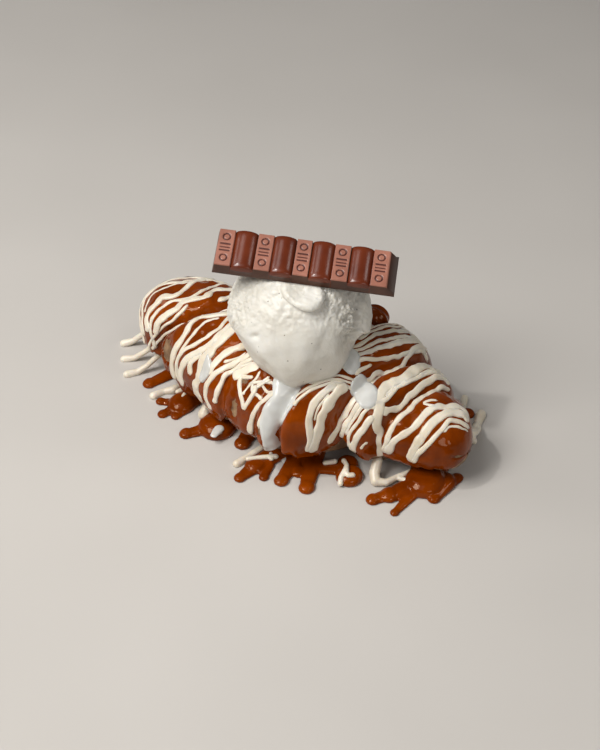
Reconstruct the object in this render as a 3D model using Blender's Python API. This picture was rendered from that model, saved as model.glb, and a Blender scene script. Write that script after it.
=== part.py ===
"""Chocolate-coated croffle with white drizzle, a scoop of ice cream and a chocolate bar.

The croffle is a plump twisted roll lying along X.  Every ring of the roll is given by a
position along X and an angle: 0 degrees is the back (+Y), 90 the crest, 180 the front (-Y)
and 270 the underside.  The drizzle strands are ribbons whose routes are written in the same
two coordinates, so that they follow the roll.  Lengths are in metres, +Z is up and the
origin lies under the roll, on the plane that it rests on.
"""

import math

import bmesh
import bpy
from mathutils import Matrix, Vector, noise

# ---- the roll ---------------------------------------------------------------------------
# position along X, middle of the width, half width, height, clearance below
ROLL_STATIONS = (
    (-0.095, 0.0092, 0.0160, 0.0275, 0.0052),
    (-0.086, 0.0095, 0.0207, 0.0318, 0.0038),
    (-0.068, 0.0065, 0.0264, 0.0392, 0.0020),
    (-0.040, -0.0005, 0.0312, 0.0445, 0.0010),
    (-0.012, -0.0065, 0.0355, 0.0490, 0.0000),
    (0.008, -0.0060, 0.0395, 0.0520, 0.0000),
    (0.020, 0.0000, 0.0395, 0.0530, 0.0010),
    (0.032, 0.0050, 0.0355, 0.0500, 0.0020),
    (0.045, 0.0048, 0.0315, 0.0455, 0.0000),
    (0.062, 0.0035, 0.0228, 0.0370, 0.0018),
    (0.074, 0.0008, 0.0175, 0.0302, 0.0042),
    (0.0835, -0.0018, 0.0148, 0.0268, 0.0050),
)
LEFT_ROUNDING = 0.015        # length over which the left end closes
RIGHT_ROUNDING = 0.013       # length over which the right end closes
END_POWER = 2.3              # 2 would be a round end, more is blunter
END_LEAN = 0.0030            # how far the left end's crest reaches out over its middle
END_LEAN_LENGTH = 0.030      # length over which that lean fades
MIDDLE_LEVEL = 0.46          # height of the widest line, as a share of the height
UPPER_POWER = 2.15           # squareness of the upper half of a ring
LOWER_POWER = 2.05           # squareness of the lower half of a ring
FOOT_SINK = 0.0012           # how far the foot reaches below its own clearance
RING_SPACING = 0.0042
RING_SIDES = 28
# where the rings lie in a rounded end, as shares of its length
END_RING_SHARES = (0.012, 0.06, 0.16, 0.32, 0.55, 0.80)

# seams between the rolled layers: x on the middle line, lean from front to back, depth,
# half width, height of the step, and which side of the seam stands higher
SEAMS = (
    (-0.0475, 0.0255, 0.0042, 0.0046, 0.0010, 1),
    (-0.020, 0.004, 0.0012, 0.0025, 0.0016, -1),
    (0.002, 0.005, 0.0016, 0.0025, 0.0010, 1),
    (0.018, 0.009, 0.0035, 0.0035, 0.0005, 1),
    (0.040, 0.010, 0.0038, 0.0035, 0.0014, -1),
    (0.057, 0.009, 0.0022, 0.0030, 0.0010, -1),
)

# ---- drizzle and drips on the roll ------------------------------------------------------
DRIZZLE_HEIGHT = 0.0011
DRIP_HEIGHT = 0.0020
RIBBON_SINK = 0.0009         # how deep the feet of a ribbon sit in the roll
RIBBON_STEP = 0.0065         # spacing of the sections along a ribbon
SHOULDER_PLACE = 0.72        # of a ribbon's half width, where its dome bends
SHOULDER_RISE = 0.62         # of its height, at that place
END_FULLNESS = 0.55          # share of the width that is left at a ribbon's ends
# width, then the route as (x, angle) pairs
DRIZZLE = (
    (0.0034, ((-0.070, 60), (-0.082, 88), (-0.0885, 115), (-0.087, 145))),
    (0.0032, ((-0.064, 62), (-0.073, 88), (-0.080, 115), (-0.082, 150))),
    (0.0030, ((-0.057, 68), (-0.067, 92), (-0.0745, 115), (-0.078, 160))),
    (0.0028, ((-0.051, 74), (-0.060, 96), (-0.068, 120), (-0.074, 160))),
    (0.0030, ((-0.045, 100), (-0.052, 114), (-0.0605, 140), (-0.063, 170))),
    (0.0040, ((-0.041, 98), (-0.0475, 112), (-0.056, 134), (-0.059, 165))),
    (0.0046, ((-0.036, 102), (-0.044, 118), (-0.052, 142), (-0.054, 176))),
    (0.0046, ((-0.032, 108), (-0.040, 134), (-0.0455, 160), (-0.043, 185))),
    (0.0036, ((-0.027, 116), (-0.035, 140), (-0.037, 165), (-0.032, 190))),
    (0.0034, ((-0.020, 120), (-0.026, 143), (-0.028, 172))),
    (0.0028, ((-0.012, 126), (-0.017, 136), (-0.018, 145))),
    (0.0024, ((0.003, 136), (-0.002, 150), (-0.004, 172), (-0.004, 190))),
    (0.0024, ((-0.016, 134), (-0.015, 152), (-0.010, 162), (-0.003, 138))),
    (0.0060, ((0.007, 132), (0.003, 152), (0.002, 172), (0.004, 196))),
    (0.0028, ((0.026, 131), (0.019, 150), (0.018, 168), (0.020, 192))),
    (0.0056, ((0.030, 131), (0.025, 153), (0.0235, 176), (0.022, 196))),
    (0.0034, ((0.035, 142), (0.031, 160), (0.028, 192))),
    (0.0030, ((0.042, 141), (0.036, 160), (0.035, 192))),
    (0.0034, ((0.043, 152), (0.039, 172), (0.037, 196))),
    (0.0048, ((0.051, 60), (0.050, 104), (0.046, 142), (0.047, 196))),
    (0.0034, ((0.060, 70), (0.0545, 106), (0.051, 134), (0.044, 142), (0.034, 146))),
    (0.0030, ((0.062, 66), (0.0575, 112), (0.052, 148), (0.051, 194))),
    (0.0032, ((0.071, 92), (0.063, 121), (0.057, 157), (0.0515, 190))),
    (0.0050, ((0.075, 90), (0.0685, 122), (0.064, 158), (0.062, 188))),
    (0.0030, ((0.0775, 92), (0.0725, 130), (0.068, 163), (0.065, 178))),
    (0.0024, ((0.039, 66), (0.034, 92), (0.026, 112))),
    (0.0024, ((0.044, 76), (0.038, 104), (0.030, 116))),
)
# lumps of coated filling that stand out of the roll: centre and radius
LUMPS = (
    (0.018, 0.029, 0.0455, 0.0068),
)
# drips of the coat itself, as width and route
DRIPS = (
    (0.0060, ((0.010, 165), (0.011, 186))),
    (0.0056, ((0.015, 168), (0.016, 192))),
    (0.0050, ((-0.029, 180), (-0.030, 202))),
)

# ---- sauce that has run out round the foot ----------------------------------------------
# one line is one rounded finger: x, y and radius at its root, then at its tip
PUDDLE_HEIGHT = 0.55         # of the radius
FINGERS = (
    (-0.067, 0.002, 0.0045, -0.076, -0.021, 0.0030),
    (-0.052, -0.010, 0.0075, -0.054, -0.026, 0.0060),
    (-0.054, -0.024, 0.0035, -0.064, -0.029, 0.0022),
    (-0.054, -0.026, 0.0035, -0.058, -0.036, 0.0024),
    (-0.051, -0.026, 0.0035, -0.052, -0.034, 0.0022),
    (-0.029, -0.016, 0.0080, -0.031, -0.031, 0.0080),
    (-0.034, -0.033, 0.0040, -0.041, -0.042, 0.0030),
    (-0.017, -0.016, 0.0050, -0.015, -0.034, 0.0036),
    (0.005, -0.018, 0.0063, -0.002, -0.044, 0.0045),
    (-0.002, -0.044, 0.0040, -0.004, -0.054, 0.0026),
    (0.002, -0.040, 0.0036, 0.005, -0.048, 0.0022),
    (0.010, -0.020, 0.0045, 0.013, -0.046, 0.0032),
    (0.013, -0.034, 0.0032, 0.017, -0.037, 0.0030),
    (0.015, -0.016, 0.0050, 0.025, -0.044, 0.0034),
    (0.020, -0.031, 0.0036, 0.033, -0.025, 0.0036),
    (0.033, -0.020, 0.0050, 0.038, -0.028, 0.0056),
    (0.066, 0.001, 0.0085, 0.069, -0.014, 0.0085),
    (0.068, -0.014, 0.0065, 0.059, -0.029, 0.0040),
    (0.060, -0.026, 0.0040, 0.054, -0.035, 0.0030),
    (0.076, -0.008, 0.0060, 0.077, -0.020, 0.0028),
    (0.080, -0.002, 0.0030, 0.077, -0.018, 0.0026),
    (0.068, -0.020, 0.0030, 0.066, -0.037, 0.0020),
    (0.052, 0.012, 0.0055, 0.065, 0.040, 0.0030),
)
# ends of white strands that run off the roll: root and tip, with the same radius
STRAY_RADIUS = 0.0019
STRAYS = (
    (-0.060, 0.006, -0.104, -0.002),
    (-0.059, 0.004, -0.097, -0.012),
    (-0.058, 0.002, -0.089, -0.021),
    (-0.056, 0.000, -0.069, -0.027),
    (-0.010, -0.018, -0.010, -0.047),
    (0.046, 0.010, 0.059, 0.050),
    (0.050, 0.006, 0.071, 0.043),
)
# share of a dome's radius and of its height at each of its rings, from the foot up;
# the foot reaches a little below the resting plane
DOME_RINGS = ((1.0, 0.0), (1.0, 0.2), (0.75, 0.72))
DOME_FOOT = -0.001
FINGER_SIDES = 10

# ---- ice cream --------------------------------------------------------------------------
SCOOP_CENTRE = Vector((-0.0022, -0.0085, 0.0640))
SCOOP_RADIUS = 0.0312
SCOOP_STRETCH = 0.0021       # how much longer its radius is along SCOOP_AXIS
SCOOP_AXIS = Vector((-0.338, 0.544, 0.768)).normalized()
SCOOP_SIDES = 40
SCOOP_RINGS = 22
SCOOP_ROUGHNESS = 0.0009
SWELLS = ((2.3, 1.0), (6.0, 0.5))          # frequency and weight of its unevenness
FLAP_OUT = Vector((0.28, -0.61, 0.74))     # direction from the centre to the folded flap
FLAP_RADII = (0.0080, 0.0052, 0.0026)
GAP = 0.0003                 # clearance between pieces that touch

# ---- chocolate bar ----------------------------------------------------------------------
BAR_CENTRE = Vector((0.0025, -0.0135, 0.1008))   # middle of the panel tops
BAR_LENGTH = 0.0738          # over the panel tops
BAR_WIDTH = 0.0180
BAR_PANEL_HEIGHT = 0.0060
BAR_VALLEY_HEIGHT = 0.0042   # of the slab below a hump
BAR_HUMP_TOP = 0.0069
BAR_HUMP_LEVEL = 0.0032      # height of a hump's middle line
BAR_SIDE_DRAFT = 0.0009      # how much wider each long side is at the bottom
BAR_END_DRAFTS = (0.0009, 0.0040)          # the same for the left and right ends
BAR_FOOT_HEIGHT = 0.0006     # height up to which the ends stand upright
VALLEY_EDGE = 0.0002         # length of the step beside a hump
BAR_HUMPS = 4
BAR_HUMP_SHARE = 0.135       # length of a hump, as a share of the bar's length
BAR_HUMP_OVERHANG = 0.0006   # how far a hump's end stands out of the panel's edge
HUMP_END_POWER = 5.0         # bluntness of a hump's ends
HUMP_SIDES = 16
HUMP_LEAST = 0.30            # share of a hump's section that is left at its ends
HUMP_SINK = 0.6              # how deep it reaches below its middle line, as a share
HUMP_CLEARANCE = 0.0001      # from the panels beside it
HUMP_RINGS = (-1.0, -0.97, -0.88, -0.70, 0.0, 0.70, 0.88, 0.97, 1.0)
BAR_TURN = math.radians(22.0)
BAR_LEAN = math.radians(23.5)
BAR_ROLL = math.radians(3.6)

# ---- colours ----------------------------------------------------------------------------
MILK_CHOCOLATE = (0.215, 0.060, 0.014, 1.0)
BAR_CHOCOLATE = (0.150, 0.040, 0.018, 1.0)
ICE_CREAM = (0.80, 0.76, 0.66, 1.0)

CUT_MARGIN = 0.020


def clear_scene():
    """Remove what a new file holds, so that only the dessert is left."""
    for obj in list(bpy.data.objects):
        bpy.data.objects.remove(obj, do_unlink=True)


def material(name, colour, roughness):
    """A plain material with the given colour and roughness."""
    made = bpy.data.materials.new(name)
    made.use_nodes = True
    shader = made.node_tree.nodes["Principled BSDF"]
    shader.inputs["Base Color"].default_value = colour
    shader.inputs["Roughness"].default_value = roughness
    shader.inputs["Metallic"].default_value = 0.0
    return made


def new_object(name, shape, collection):
    """Turn a bmesh into an object of the collection, with its normals outward."""
    bmesh.ops.recalc_face_normals(shape, faces=shape.faces)
    mesh = bpy.data.meshes.new(name)
    shape.to_mesh(mesh)
    shape.free()
    obj = bpy.data.objects.new(name, mesh)
    collection.objects.link(obj)
    return obj


def smooth_between(position, places, values):
    """Value at a position on a smooth curve through the given places and values."""
    last = len(places) - 2
    index = 0
    while index < last and position > places[index + 1]:
        index += 1

    def slope(at):
        before = max(at - 1, 0)
        after = min(at + 1, len(places) - 1)
        return (values[after] - values[before]) / (places[after] - places[before])

    span = places[index + 1] - places[index]
    t = min(max((position - places[index]) / span, 0.0), 1.0)
    start = (2 * t**3 - 3 * t**2 + 1) * values[index]
    end = (3 * t**2 - 2 * t**3) * values[index + 1]
    leave = (t**3 - 2 * t**2 + t) * span * slope(index)
    arrive = (t**3 - t**2) * span * slope(index + 1)
    return start + end + leave + arrive


# ---- the roll ---------------------------------------------------------------------------
ROLL_PLACES = [station[0] for station in ROLL_STATIONS]
ROLL_COLUMNS = [[station[column] for station in ROLL_STATIONS] for column in range(5)]
ROLL_START = ROLL_PLACES[0]
ROLL_END = ROLL_PLACES[-1]


def end_closing(x):
    """Share of the full section that is left near either end of the roll."""
    share = 1.0
    for distance in ((x - ROLL_START) / LEFT_ROUNDING, (ROLL_END - x) / RIGHT_ROUNDING):
        near = min(max(distance, 0.0), 1.0)
        share *= (1.0 - (1.0 - near) ** END_POWER) ** (1.0 / END_POWER)
    return share


def seam_relief(x, angle):
    """Depth of the seams and steps between the rolled layers."""
    relief = 0.0
    for middle, lean, depth, width, step, side in SEAMS:
        distance = x - (middle + lean * math.cos(angle))
        relief -= depth / (1.0 + (distance / width) ** 2)
        relief += side * step * 0.5 * math.tanh(distance / (1.5 * width))
    return relief


def signed_power(value, power):
    """Power of a value that keeps the value's sign."""
    return math.copysign(abs(value) ** power, value)


def roll_point(x, angle):
    """Point on the roll's surface at a position along it and an angle round it."""
    middle, half_width, height, lift = (
        smooth_between(x, ROLL_PLACES, ROLL_COLUMNS[column]) for column in (1, 2, 3, 4))
    closing = end_closing(x)
    relief = seam_relief(x, angle) * closing
    upper = math.sin(angle) >= 0.0
    power = 2.0 / (UPPER_POWER if upper else LOWER_POWER)
    across = signed_power(math.cos(angle), power)
    upward = signed_power(math.sin(angle), power)
    if upper:
        reach = (1.0 - MIDDLE_LEVEL) * height * closing + relief
    else:
        reach = MIDDLE_LEVEL * height * closing + FOOT_SINK + relief
    y = middle + (half_width * closing + relief) * across
    z = lift + MIDDLE_LEVEL * height + reach * upward
    from_start = min(max((x - ROLL_START) / END_LEAN_LENGTH, 0.0), 1.0)
    lean = END_LEAN * (1.0 - from_start**2 * (3.0 - 2.0 * from_start))
    return Vector((x - lean * upward, y, z))


def ring_positions():
    """Positions of the rings, closer together where the ends round off."""
    inner_start = ROLL_START + LEFT_ROUNDING
    inner_end = ROLL_END - RIGHT_ROUNDING
    positions = [ROLL_START + LEFT_ROUNDING * share for share in END_RING_SHARES]
    count = round((inner_end - inner_start) / RING_SPACING)
    for step in range(count + 1):
        positions.append(inner_start + (inner_end - inner_start) * step / count)
    positions += [ROLL_END - RIGHT_ROUNDING * share for share in reversed(END_RING_SHARES)]
    return positions


def loft(rings):
    """Closed solid through rings that have the same number of points."""
    shape = bmesh.new()
    rows = [[shape.verts.new(point) for point in ring] for ring in rings]
    sides = len(rows[0])
    for first, second in zip(rows, rows[1:]):
        for side in range(sides):
            after = (side + 1) % sides
            shape.faces.new((first[side], first[after], second[after], second[side]))
    shape.faces.new(rows[0])
    shape.faces.new(rows[-1])
    return shape


def make_roll(collection):
    """The coated pastry without drizzle."""
    angles = [2.0 * math.pi * side / RING_SIDES for side in range(RING_SIDES)]
    rings = [[roll_point(x, angle) for angle in angles] for x in ring_positions()]
    return new_object("croffle", loft(rings), collection)


# ---- ribbons ----------------------------------------------------------------------------
def ribbon_route(controls):
    """Points of a smooth route over the roll, each with the surface's outward direction."""
    marks = [float(index) for index in range(len(controls))]
    xs = [control[0] for control in controls]
    angles = [control[1] for control in controls]
    length = sum(
        (roll_point(a[0], math.radians(a[1])) - roll_point(b[0], math.radians(b[1]))).length
        for a, b in zip(controls, controls[1:]))
    steps = max(3, round(length / RIBBON_STEP))
    route = []
    for step in range(steps + 1):
        mark = marks[-1] * step / steps
        x = smooth_between(mark, marks, xs)
        angle = math.radians(smooth_between(mark, marks, angles))
        along = roll_point(x + 0.0005, angle) - roll_point(x - 0.0005, angle)
        around = roll_point(x, angle + 0.01) - roll_point(x, angle - 0.01)
        route.append((roll_point(x, angle), around.cross(along).normalized()))
    return route


def ribbon(name, controls, width, height, collection):
    """A domed ribbon that lies on the roll, narrower towards its two ends."""
    route = ribbon_route(controls)
    last = len(route) - 1
    rings = []
    for index, (point, outward) in enumerate(route):
        before = route[max(index - 1, 0)][0]
        after = route[min(index + 1, last)][0]
        sideways = (after - before).cross(outward).normalized()
        from_end = min(index, last - index) / last
        fullness = min(1.0, END_FULLNESS + 2.0 * from_end)
        half = 0.5 * width * fullness
        rise = height * fullness
        rings.append([
            point - sideways * half - outward * RIBBON_SINK,
            point - sideways * SHOULDER_PLACE * half + outward * SHOULDER_RISE * rise,
            point + outward * rise,
            point + sideways * SHOULDER_PLACE * half + outward * SHOULDER_RISE * rise,
            point + sideways * half - outward * RIBBON_SINK,
        ])
    return new_object(name, loft(rings), collection)


def make_lump(name, centre, radius, collection):
    """A rounded lump half sunk in the roll."""
    shape = bmesh.new()
    bmesh.ops.create_icosphere(shape, subdivisions=2, radius=radius)
    bmesh.ops.translate(shape, verts=shape.verts, vec=centre)
    return new_object(name, shape, collection)


# ---- sauce on the plate -----------------------------------------------------------------
def dome_points(x, y, radius, height):
    """Points of a low dome whose rim reaches below the resting plane."""
    points = [Vector((x, y, height))]
    for share, level in DOME_RINGS:
        for side in range(FINGER_SIDES):
            turn = 2.0 * math.pi * side / FINGER_SIDES
            points.append(Vector((
                x + radius * share * math.cos(turn),
                y + radius * share * math.sin(turn),
                level * height if level > 0.0 else DOME_FOOT)))
    return points


def make_finger(name, root, tip, collection):
    """One rounded finger of sauce: the hull of a dome at its root and one at its tip."""
    shape = bmesh.new()
    for x, y, radius in (root, tip):
        for point in dome_points(x, y, radius, radius * PUDDLE_HEIGHT):
            shape.verts.new(point)
    hull = bmesh.ops.convex_hull(shape, input=shape.verts)
    loose = set(hull["geom_interior"]) | set(hull["geom_unused"])
    bmesh.ops.delete(
        shape, geom=[item for item in loose if isinstance(item, bmesh.types.BMVert)],
        context="VERTS")
    return new_object(name, shape, collection)


# ---- joining and cutting ----------------------------------------------------------------
def apply_boolean(target, operation, cutter=None, group=None):
    """Apply one Boolean to the target, with an object or with a whole collection."""
    modifier = target.modifiers.new("join", "BOOLEAN")
    modifier.operation = operation
    modifier.solver = "MANIFOLD"
    if group is None:
        modifier.object = cutter
    else:
        modifier.operand_type = "COLLECTION"
        modifier.collection = group
    evaluated = target.evaluated_get(bpy.context.evaluated_depsgraph_get())
    result = bpy.data.meshes.new_from_object(evaluated)
    target.modifiers.clear()
    target.data = result


def remove_collection(collection):
    """Remove a collection with its objects."""
    for obj in list(collection.objects):
        bpy.data.objects.remove(obj, do_unlink=True)
    bpy.data.collections.remove(collection)


def tidy_mesh(obj):
    """Split the faces into triangles, drop loose scraps and turn the faces outward."""
    shape = bmesh.new()
    shape.from_mesh(obj.data)
    bmesh.ops.triangulate(shape, faces=shape.faces)
    drop_scraps(shape)
    bmesh.ops.recalc_face_normals(shape, faces=shape.faces)
    shape.to_mesh(obj.data)
    shape.free()


def drop_scraps(shape):
    """Keep the largest connected piece only."""
    shape.verts.ensure_lookup_table()
    unseen = set(shape.verts)
    pieces = []
    while unseen:
        frontier = [unseen.pop()]
        piece = set(frontier)
        while frontier:
            vert = frontier.pop()
            for edge in vert.link_edges:
                other = edge.other_vert(vert)
                if other in unseen:
                    unseen.remove(other)
                    piece.add(other)
                    frontier.append(other)
        pieces.append(piece)
    largest = max(pieces, key=len)
    scraps = [vert for vert in shape.verts if vert not in largest]
    bmesh.ops.delete(shape, geom=scraps, context="VERTS")


def make_floor_cutter(collection):
    """A block that reaches up to the resting plane."""
    shape = bmesh.new()
    bmesh.ops.create_cube(shape, size=1.0)
    size = ROLL_END - ROLL_START + 2.0 * CUT_MARGIN
    bmesh.ops.scale(shape, verts=shape.verts, vec=(size, size, CUT_MARGIN))
    bmesh.ops.translate(shape, verts=shape.verts, vec=(0.0, 0.0, -0.5 * CUT_MARGIN))
    return new_object("floor cutter", shape, collection)


# ---- ice cream --------------------------------------------------------------------------
def scoop_shape(extra):
    """The scoop's slightly long ball with its uneven surface, larger by a clearance."""
    shape = bmesh.new()
    bmesh.ops.create_uvsphere(
        shape, u_segments=SCOOP_SIDES, v_segments=SCOOP_RINGS, radius=1.0)
    for vert in shape.verts:
        outward = vert.co.normalized()
        swell = sum(weight * noise.noise(outward * frequency) for frequency, weight in SWELLS)
        stretch = SCOOP_AXIS * SCOOP_STRETCH * outward.dot(SCOOP_AXIS)
        radius = SCOOP_RADIUS + SCOOP_ROUGHNESS * swell + extra
        vert.co = SCOOP_CENTRE + outward * radius + stretch
    return shape


def frame_of(outward, across):
    """Rotation whose Z axis is outward and whose X axis is close to across."""
    z_axis = outward.normalized()
    y_axis = z_axis.cross(across).normalized()
    x_axis = y_axis.cross(z_axis)
    return Matrix((x_axis, y_axis, z_axis)).transposed()


def make_flap(collection):
    """The petal of ice cream that the scoop folded over on the front."""
    shape = bmesh.new()
    bmesh.ops.create_uvsphere(shape, u_segments=14, v_segments=8, radius=1.0)
    turn = frame_of(FLAP_OUT, Vector((1.0, 0.5, 0.0)))
    middle = SCOOP_CENTRE + FLAP_OUT.normalized() * SCOOP_RADIUS
    for vert in shape.verts:
        size = Vector(vert.co[axis] * FLAP_RADII[axis] for axis in range(3))
        vert.co = middle + turn @ size
    return new_object("flap", shape, collection)


# ---- chocolate bar ----------------------------------------------------------------------
def bar_rotation():
    """The way the bar lies: turned, leaning forward and dipping to its right end."""
    turn = Matrix.Rotation(BAR_TURN, 3, "Z")
    lean = Matrix.Rotation(BAR_LEAN, 3, "X")
    roll = Matrix.Rotation(BAR_ROLL, 3, "Y")
    return turn @ lean @ roll


def hump_starts():
    """Where each hump begins along the bar."""
    hump = BAR_LENGTH * BAR_HUMP_SHARE
    panel = (BAR_LENGTH - BAR_HUMPS * hump) / (BAR_HUMPS + 1)
    return [-0.5 * BAR_LENGTH + panel + index * (panel + hump) for index in range(BAR_HUMPS)]


def bar_profile():
    """Stations along the slab with the height of its top there."""
    half = 0.5 * BAR_LENGTH
    hump = BAR_LENGTH * BAR_HUMP_SHARE
    left_draft, right_draft = BAR_END_DRAFTS
    profile = [(-half - left_draft, BAR_FOOT_HEIGHT), (-half, BAR_PANEL_HEIGHT)]
    for start in hump_starts():
        profile.append((start, BAR_PANEL_HEIGHT))
        profile.append((start + VALLEY_EDGE, BAR_VALLEY_HEIGHT))
        profile.append((start + hump - VALLEY_EDGE, BAR_VALLEY_HEIGHT))
        profile.append((start + hump, BAR_PANEL_HEIGHT))
    profile += [(half, BAR_PANEL_HEIGHT), (half + right_draft, BAR_FOOT_HEIGHT)]
    return profile


def on_bar(along, across, height):
    """A place on the bar, as a point of the dessert."""
    return BAR_CENTRE + bar_rotation() @ Vector((along, across, height - BAR_PANEL_HEIGHT))


def bar_slab(extra):
    """The slab of the bar, its sides sloping outward to the bottom."""
    base_half = 0.5 * BAR_WIDTH + BAR_SIDE_DRAFT
    rings = []
    for along, height in bar_profile():
        top_half = base_half - BAR_SIDE_DRAFT * height / BAR_PANEL_HEIGHT
        section = (
            (-base_half - extra, -extra), (-top_half - extra, height + extra),
            (top_half + extra, height + extra), (base_half + extra, -extra))
        stretched = along * (1.0 + 2.0 * extra / BAR_LENGTH)
        rings.append([on_bar(stretched, y, z) for y, z in section])
    return loft(rings)


def bar_hump(start):
    """One barrel-shaped hump that lies across the slab."""
    middle = start + 0.5 * BAR_LENGTH * BAR_HUMP_SHARE
    half_length = 0.5 * BAR_LENGTH * BAR_HUMP_SHARE - HUMP_CLEARANCE
    half_width = 0.5 * BAR_WIDTH + BAR_HUMP_OVERHANG
    rings = []
    for share in HUMP_RINGS:
        fullness = (1.0 - abs(share) ** HUMP_END_POWER) ** (1.0 / HUMP_END_POWER)
        fullness = max(fullness, HUMP_LEAST)
        ring = []
        for side in range(HUMP_SIDES):
            turn = 2.0 * math.pi * side / HUMP_SIDES
            along = middle + half_length * fullness * math.cos(turn)
            level = BAR_HUMP_LEVEL
            if math.sin(turn) > 0.0:
                level += (BAR_HUMP_TOP - BAR_HUMP_LEVEL) * fullness * math.sin(turn)
            else:
                level += HUMP_SINK * BAR_HUMP_LEVEL * fullness * math.sin(turn)
            ring.append(on_bar(along, share * half_width, level))
        rings.append(ring)
    return loft(rings)


# ---- the three pieces -------------------------------------------------------------------
def make_croffle(dessert, cutters):
    """Roll, drizzle, drips and sauce joined, cut flat below and dented by the scoop."""
    roll = make_roll(dessert)
    toppings = bpy.data.collections.new("toppings")
    bpy.context.scene.collection.children.link(toppings)
    for width, controls in DRIZZLE:
        ribbon("drizzle", controls, width, DRIZZLE_HEIGHT, toppings)
    for width, controls in DRIPS:
        ribbon("drip", controls, width, DRIP_HEIGHT, toppings)
    for x, y, z, radius in LUMPS:
        make_lump("lump", Vector((x, y, z)), radius, toppings)
    for x, y, radius, tip_x, tip_y, tip_radius in FINGERS:
        make_finger("finger", (x, y, radius), (tip_x, tip_y, tip_radius), toppings)
    for x, y, tip_x, tip_y in STRAYS:
        make_finger("stray", (x, y, STRAY_RADIUS), (tip_x, tip_y, STRAY_RADIUS), toppings)
    apply_boolean(roll, "UNION", group=toppings)
    remove_collection(toppings)
    apply_boolean(roll, "DIFFERENCE", cutter=make_floor_cutter(cutters))
    seat = new_object("scoop seat", scoop_shape(GAP), cutters)
    apply_boolean(roll, "DIFFERENCE", cutter=seat)
    tidy_mesh(roll)
    roll.data.materials.clear()
    roll.data.materials.append(material("milk chocolate", MILK_CHOCOLATE, 0.25))
    return roll


def make_scoop(dessert, cutters):
    """The ball of ice cream, dented above by the bar that leans on it."""
    scoop = new_object("ice_cream_scoop", scoop_shape(0.0), dessert)
    folds = bpy.data.collections.new("folds")
    bpy.context.scene.collection.children.link(folds)
    make_flap(folds)
    apply_boolean(scoop, "UNION", group=folds)
    remove_collection(folds)
    seat = new_object("bar seat", bar_slab(GAP), cutters)
    apply_boolean(scoop, "DIFFERENCE", cutter=seat)
    tidy_mesh(scoop)
    scoop.data.materials.clear()
    scoop.data.materials.append(material("ice cream", ICE_CREAM, 0.55))
    return scoop


def make_bar(dessert):
    """The chocolate bar: a slab with humps across it."""
    bar = new_object("chocolate_bar", bar_slab(0.0), dessert)
    humps = bpy.data.collections.new("humps")
    bpy.context.scene.collection.children.link(humps)
    for start in hump_starts():
        new_object("hump", bar_hump(start), humps)
    apply_boolean(bar, "UNION", group=humps)
    remove_collection(humps)
    tidy_mesh(bar)
    bar.data.materials.clear()
    bar.data.materials.append(material("bar chocolate", BAR_CHOCOLATE, 0.35))
    return bar


def main():
    clear_scene()
    dessert = bpy.data.collections.new("croffle with ice cream")
    bpy.context.scene.collection.children.link(dessert)
    cutters = bpy.data.collections.new("cutters")
    bpy.context.scene.collection.children.link(cutters)
    make_croffle(dessert, cutters)
    make_scoop(dessert, cutters)
    make_bar(dessert)
    for cutter in cutters.objects:
        cutter.hide_render = True
        cutter.display_type = "WIRE"


main()
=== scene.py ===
"""Looks of the croffle dessert: coat, drizzle, sauce, ice cream and chocolate bar.

The roll is written as a surface over two coordinates, as in the part's own source: a place
along X in metres and an angle round the roll in degrees, where 0 is the back (+Y), 90 the
crest, 180 the front (-Y) and 270 the underside.  The coat, the drizzle and the melted ice
cream all follow that surface.
"""

import math

import bmesh
import bpy
import numpy as np
from mathutils import Matrix, Vector, noise


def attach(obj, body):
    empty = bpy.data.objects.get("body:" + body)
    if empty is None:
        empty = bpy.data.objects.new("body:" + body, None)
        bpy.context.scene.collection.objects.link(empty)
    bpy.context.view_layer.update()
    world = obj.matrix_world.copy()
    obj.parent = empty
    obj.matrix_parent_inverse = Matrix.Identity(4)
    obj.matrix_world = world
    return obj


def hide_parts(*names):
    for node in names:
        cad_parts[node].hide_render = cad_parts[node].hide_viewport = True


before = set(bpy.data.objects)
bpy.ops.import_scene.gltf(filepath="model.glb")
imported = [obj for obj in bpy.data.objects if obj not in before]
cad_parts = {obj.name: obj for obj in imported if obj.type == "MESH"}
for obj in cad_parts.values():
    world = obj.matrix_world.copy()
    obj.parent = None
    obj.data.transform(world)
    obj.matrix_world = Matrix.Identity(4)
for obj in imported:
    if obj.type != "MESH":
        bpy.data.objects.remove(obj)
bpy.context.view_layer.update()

# ---- the roll, as in the part's source ----
# position along X, middle of the width, half width, height, clearance below
ROLL_STATIONS = np.array((
    (-0.095, 0.0092, 0.0160, 0.0275, 0.0052),
    (-0.086, 0.0095, 0.0207, 0.0318, 0.0038),
    (-0.068, 0.0065, 0.0264, 0.0392, 0.0020),
    (-0.040, -0.0005, 0.0312, 0.0445, 0.0010),
    (-0.012, -0.0065, 0.0355, 0.0490, 0.0000),
    (0.008, -0.0060, 0.0395, 0.0520, 0.0000),
    (0.020, 0.0000, 0.0395, 0.0530, 0.0010),
    (0.032, 0.0050, 0.0355, 0.0500, 0.0020),
    (0.045, 0.0048, 0.0315, 0.0455, 0.0000),
    (0.062, 0.0035, 0.0228, 0.0370, 0.0018),
    (0.074, 0.0008, 0.0175, 0.0302, 0.0042),
    (0.0835, -0.0018, 0.0148, 0.0268, 0.0050),
))
LEFT_ROUNDING = 0.015
RIGHT_ROUNDING = 0.013
END_POWER = 2.3
END_LEAN = 0.0030
END_LEAN_LENGTH = 0.030
MIDDLE_LEVEL = 0.46
UPPER_POWER = 2.15
LOWER_POWER = 2.05
FOOT_SINK = 0.0012
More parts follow.
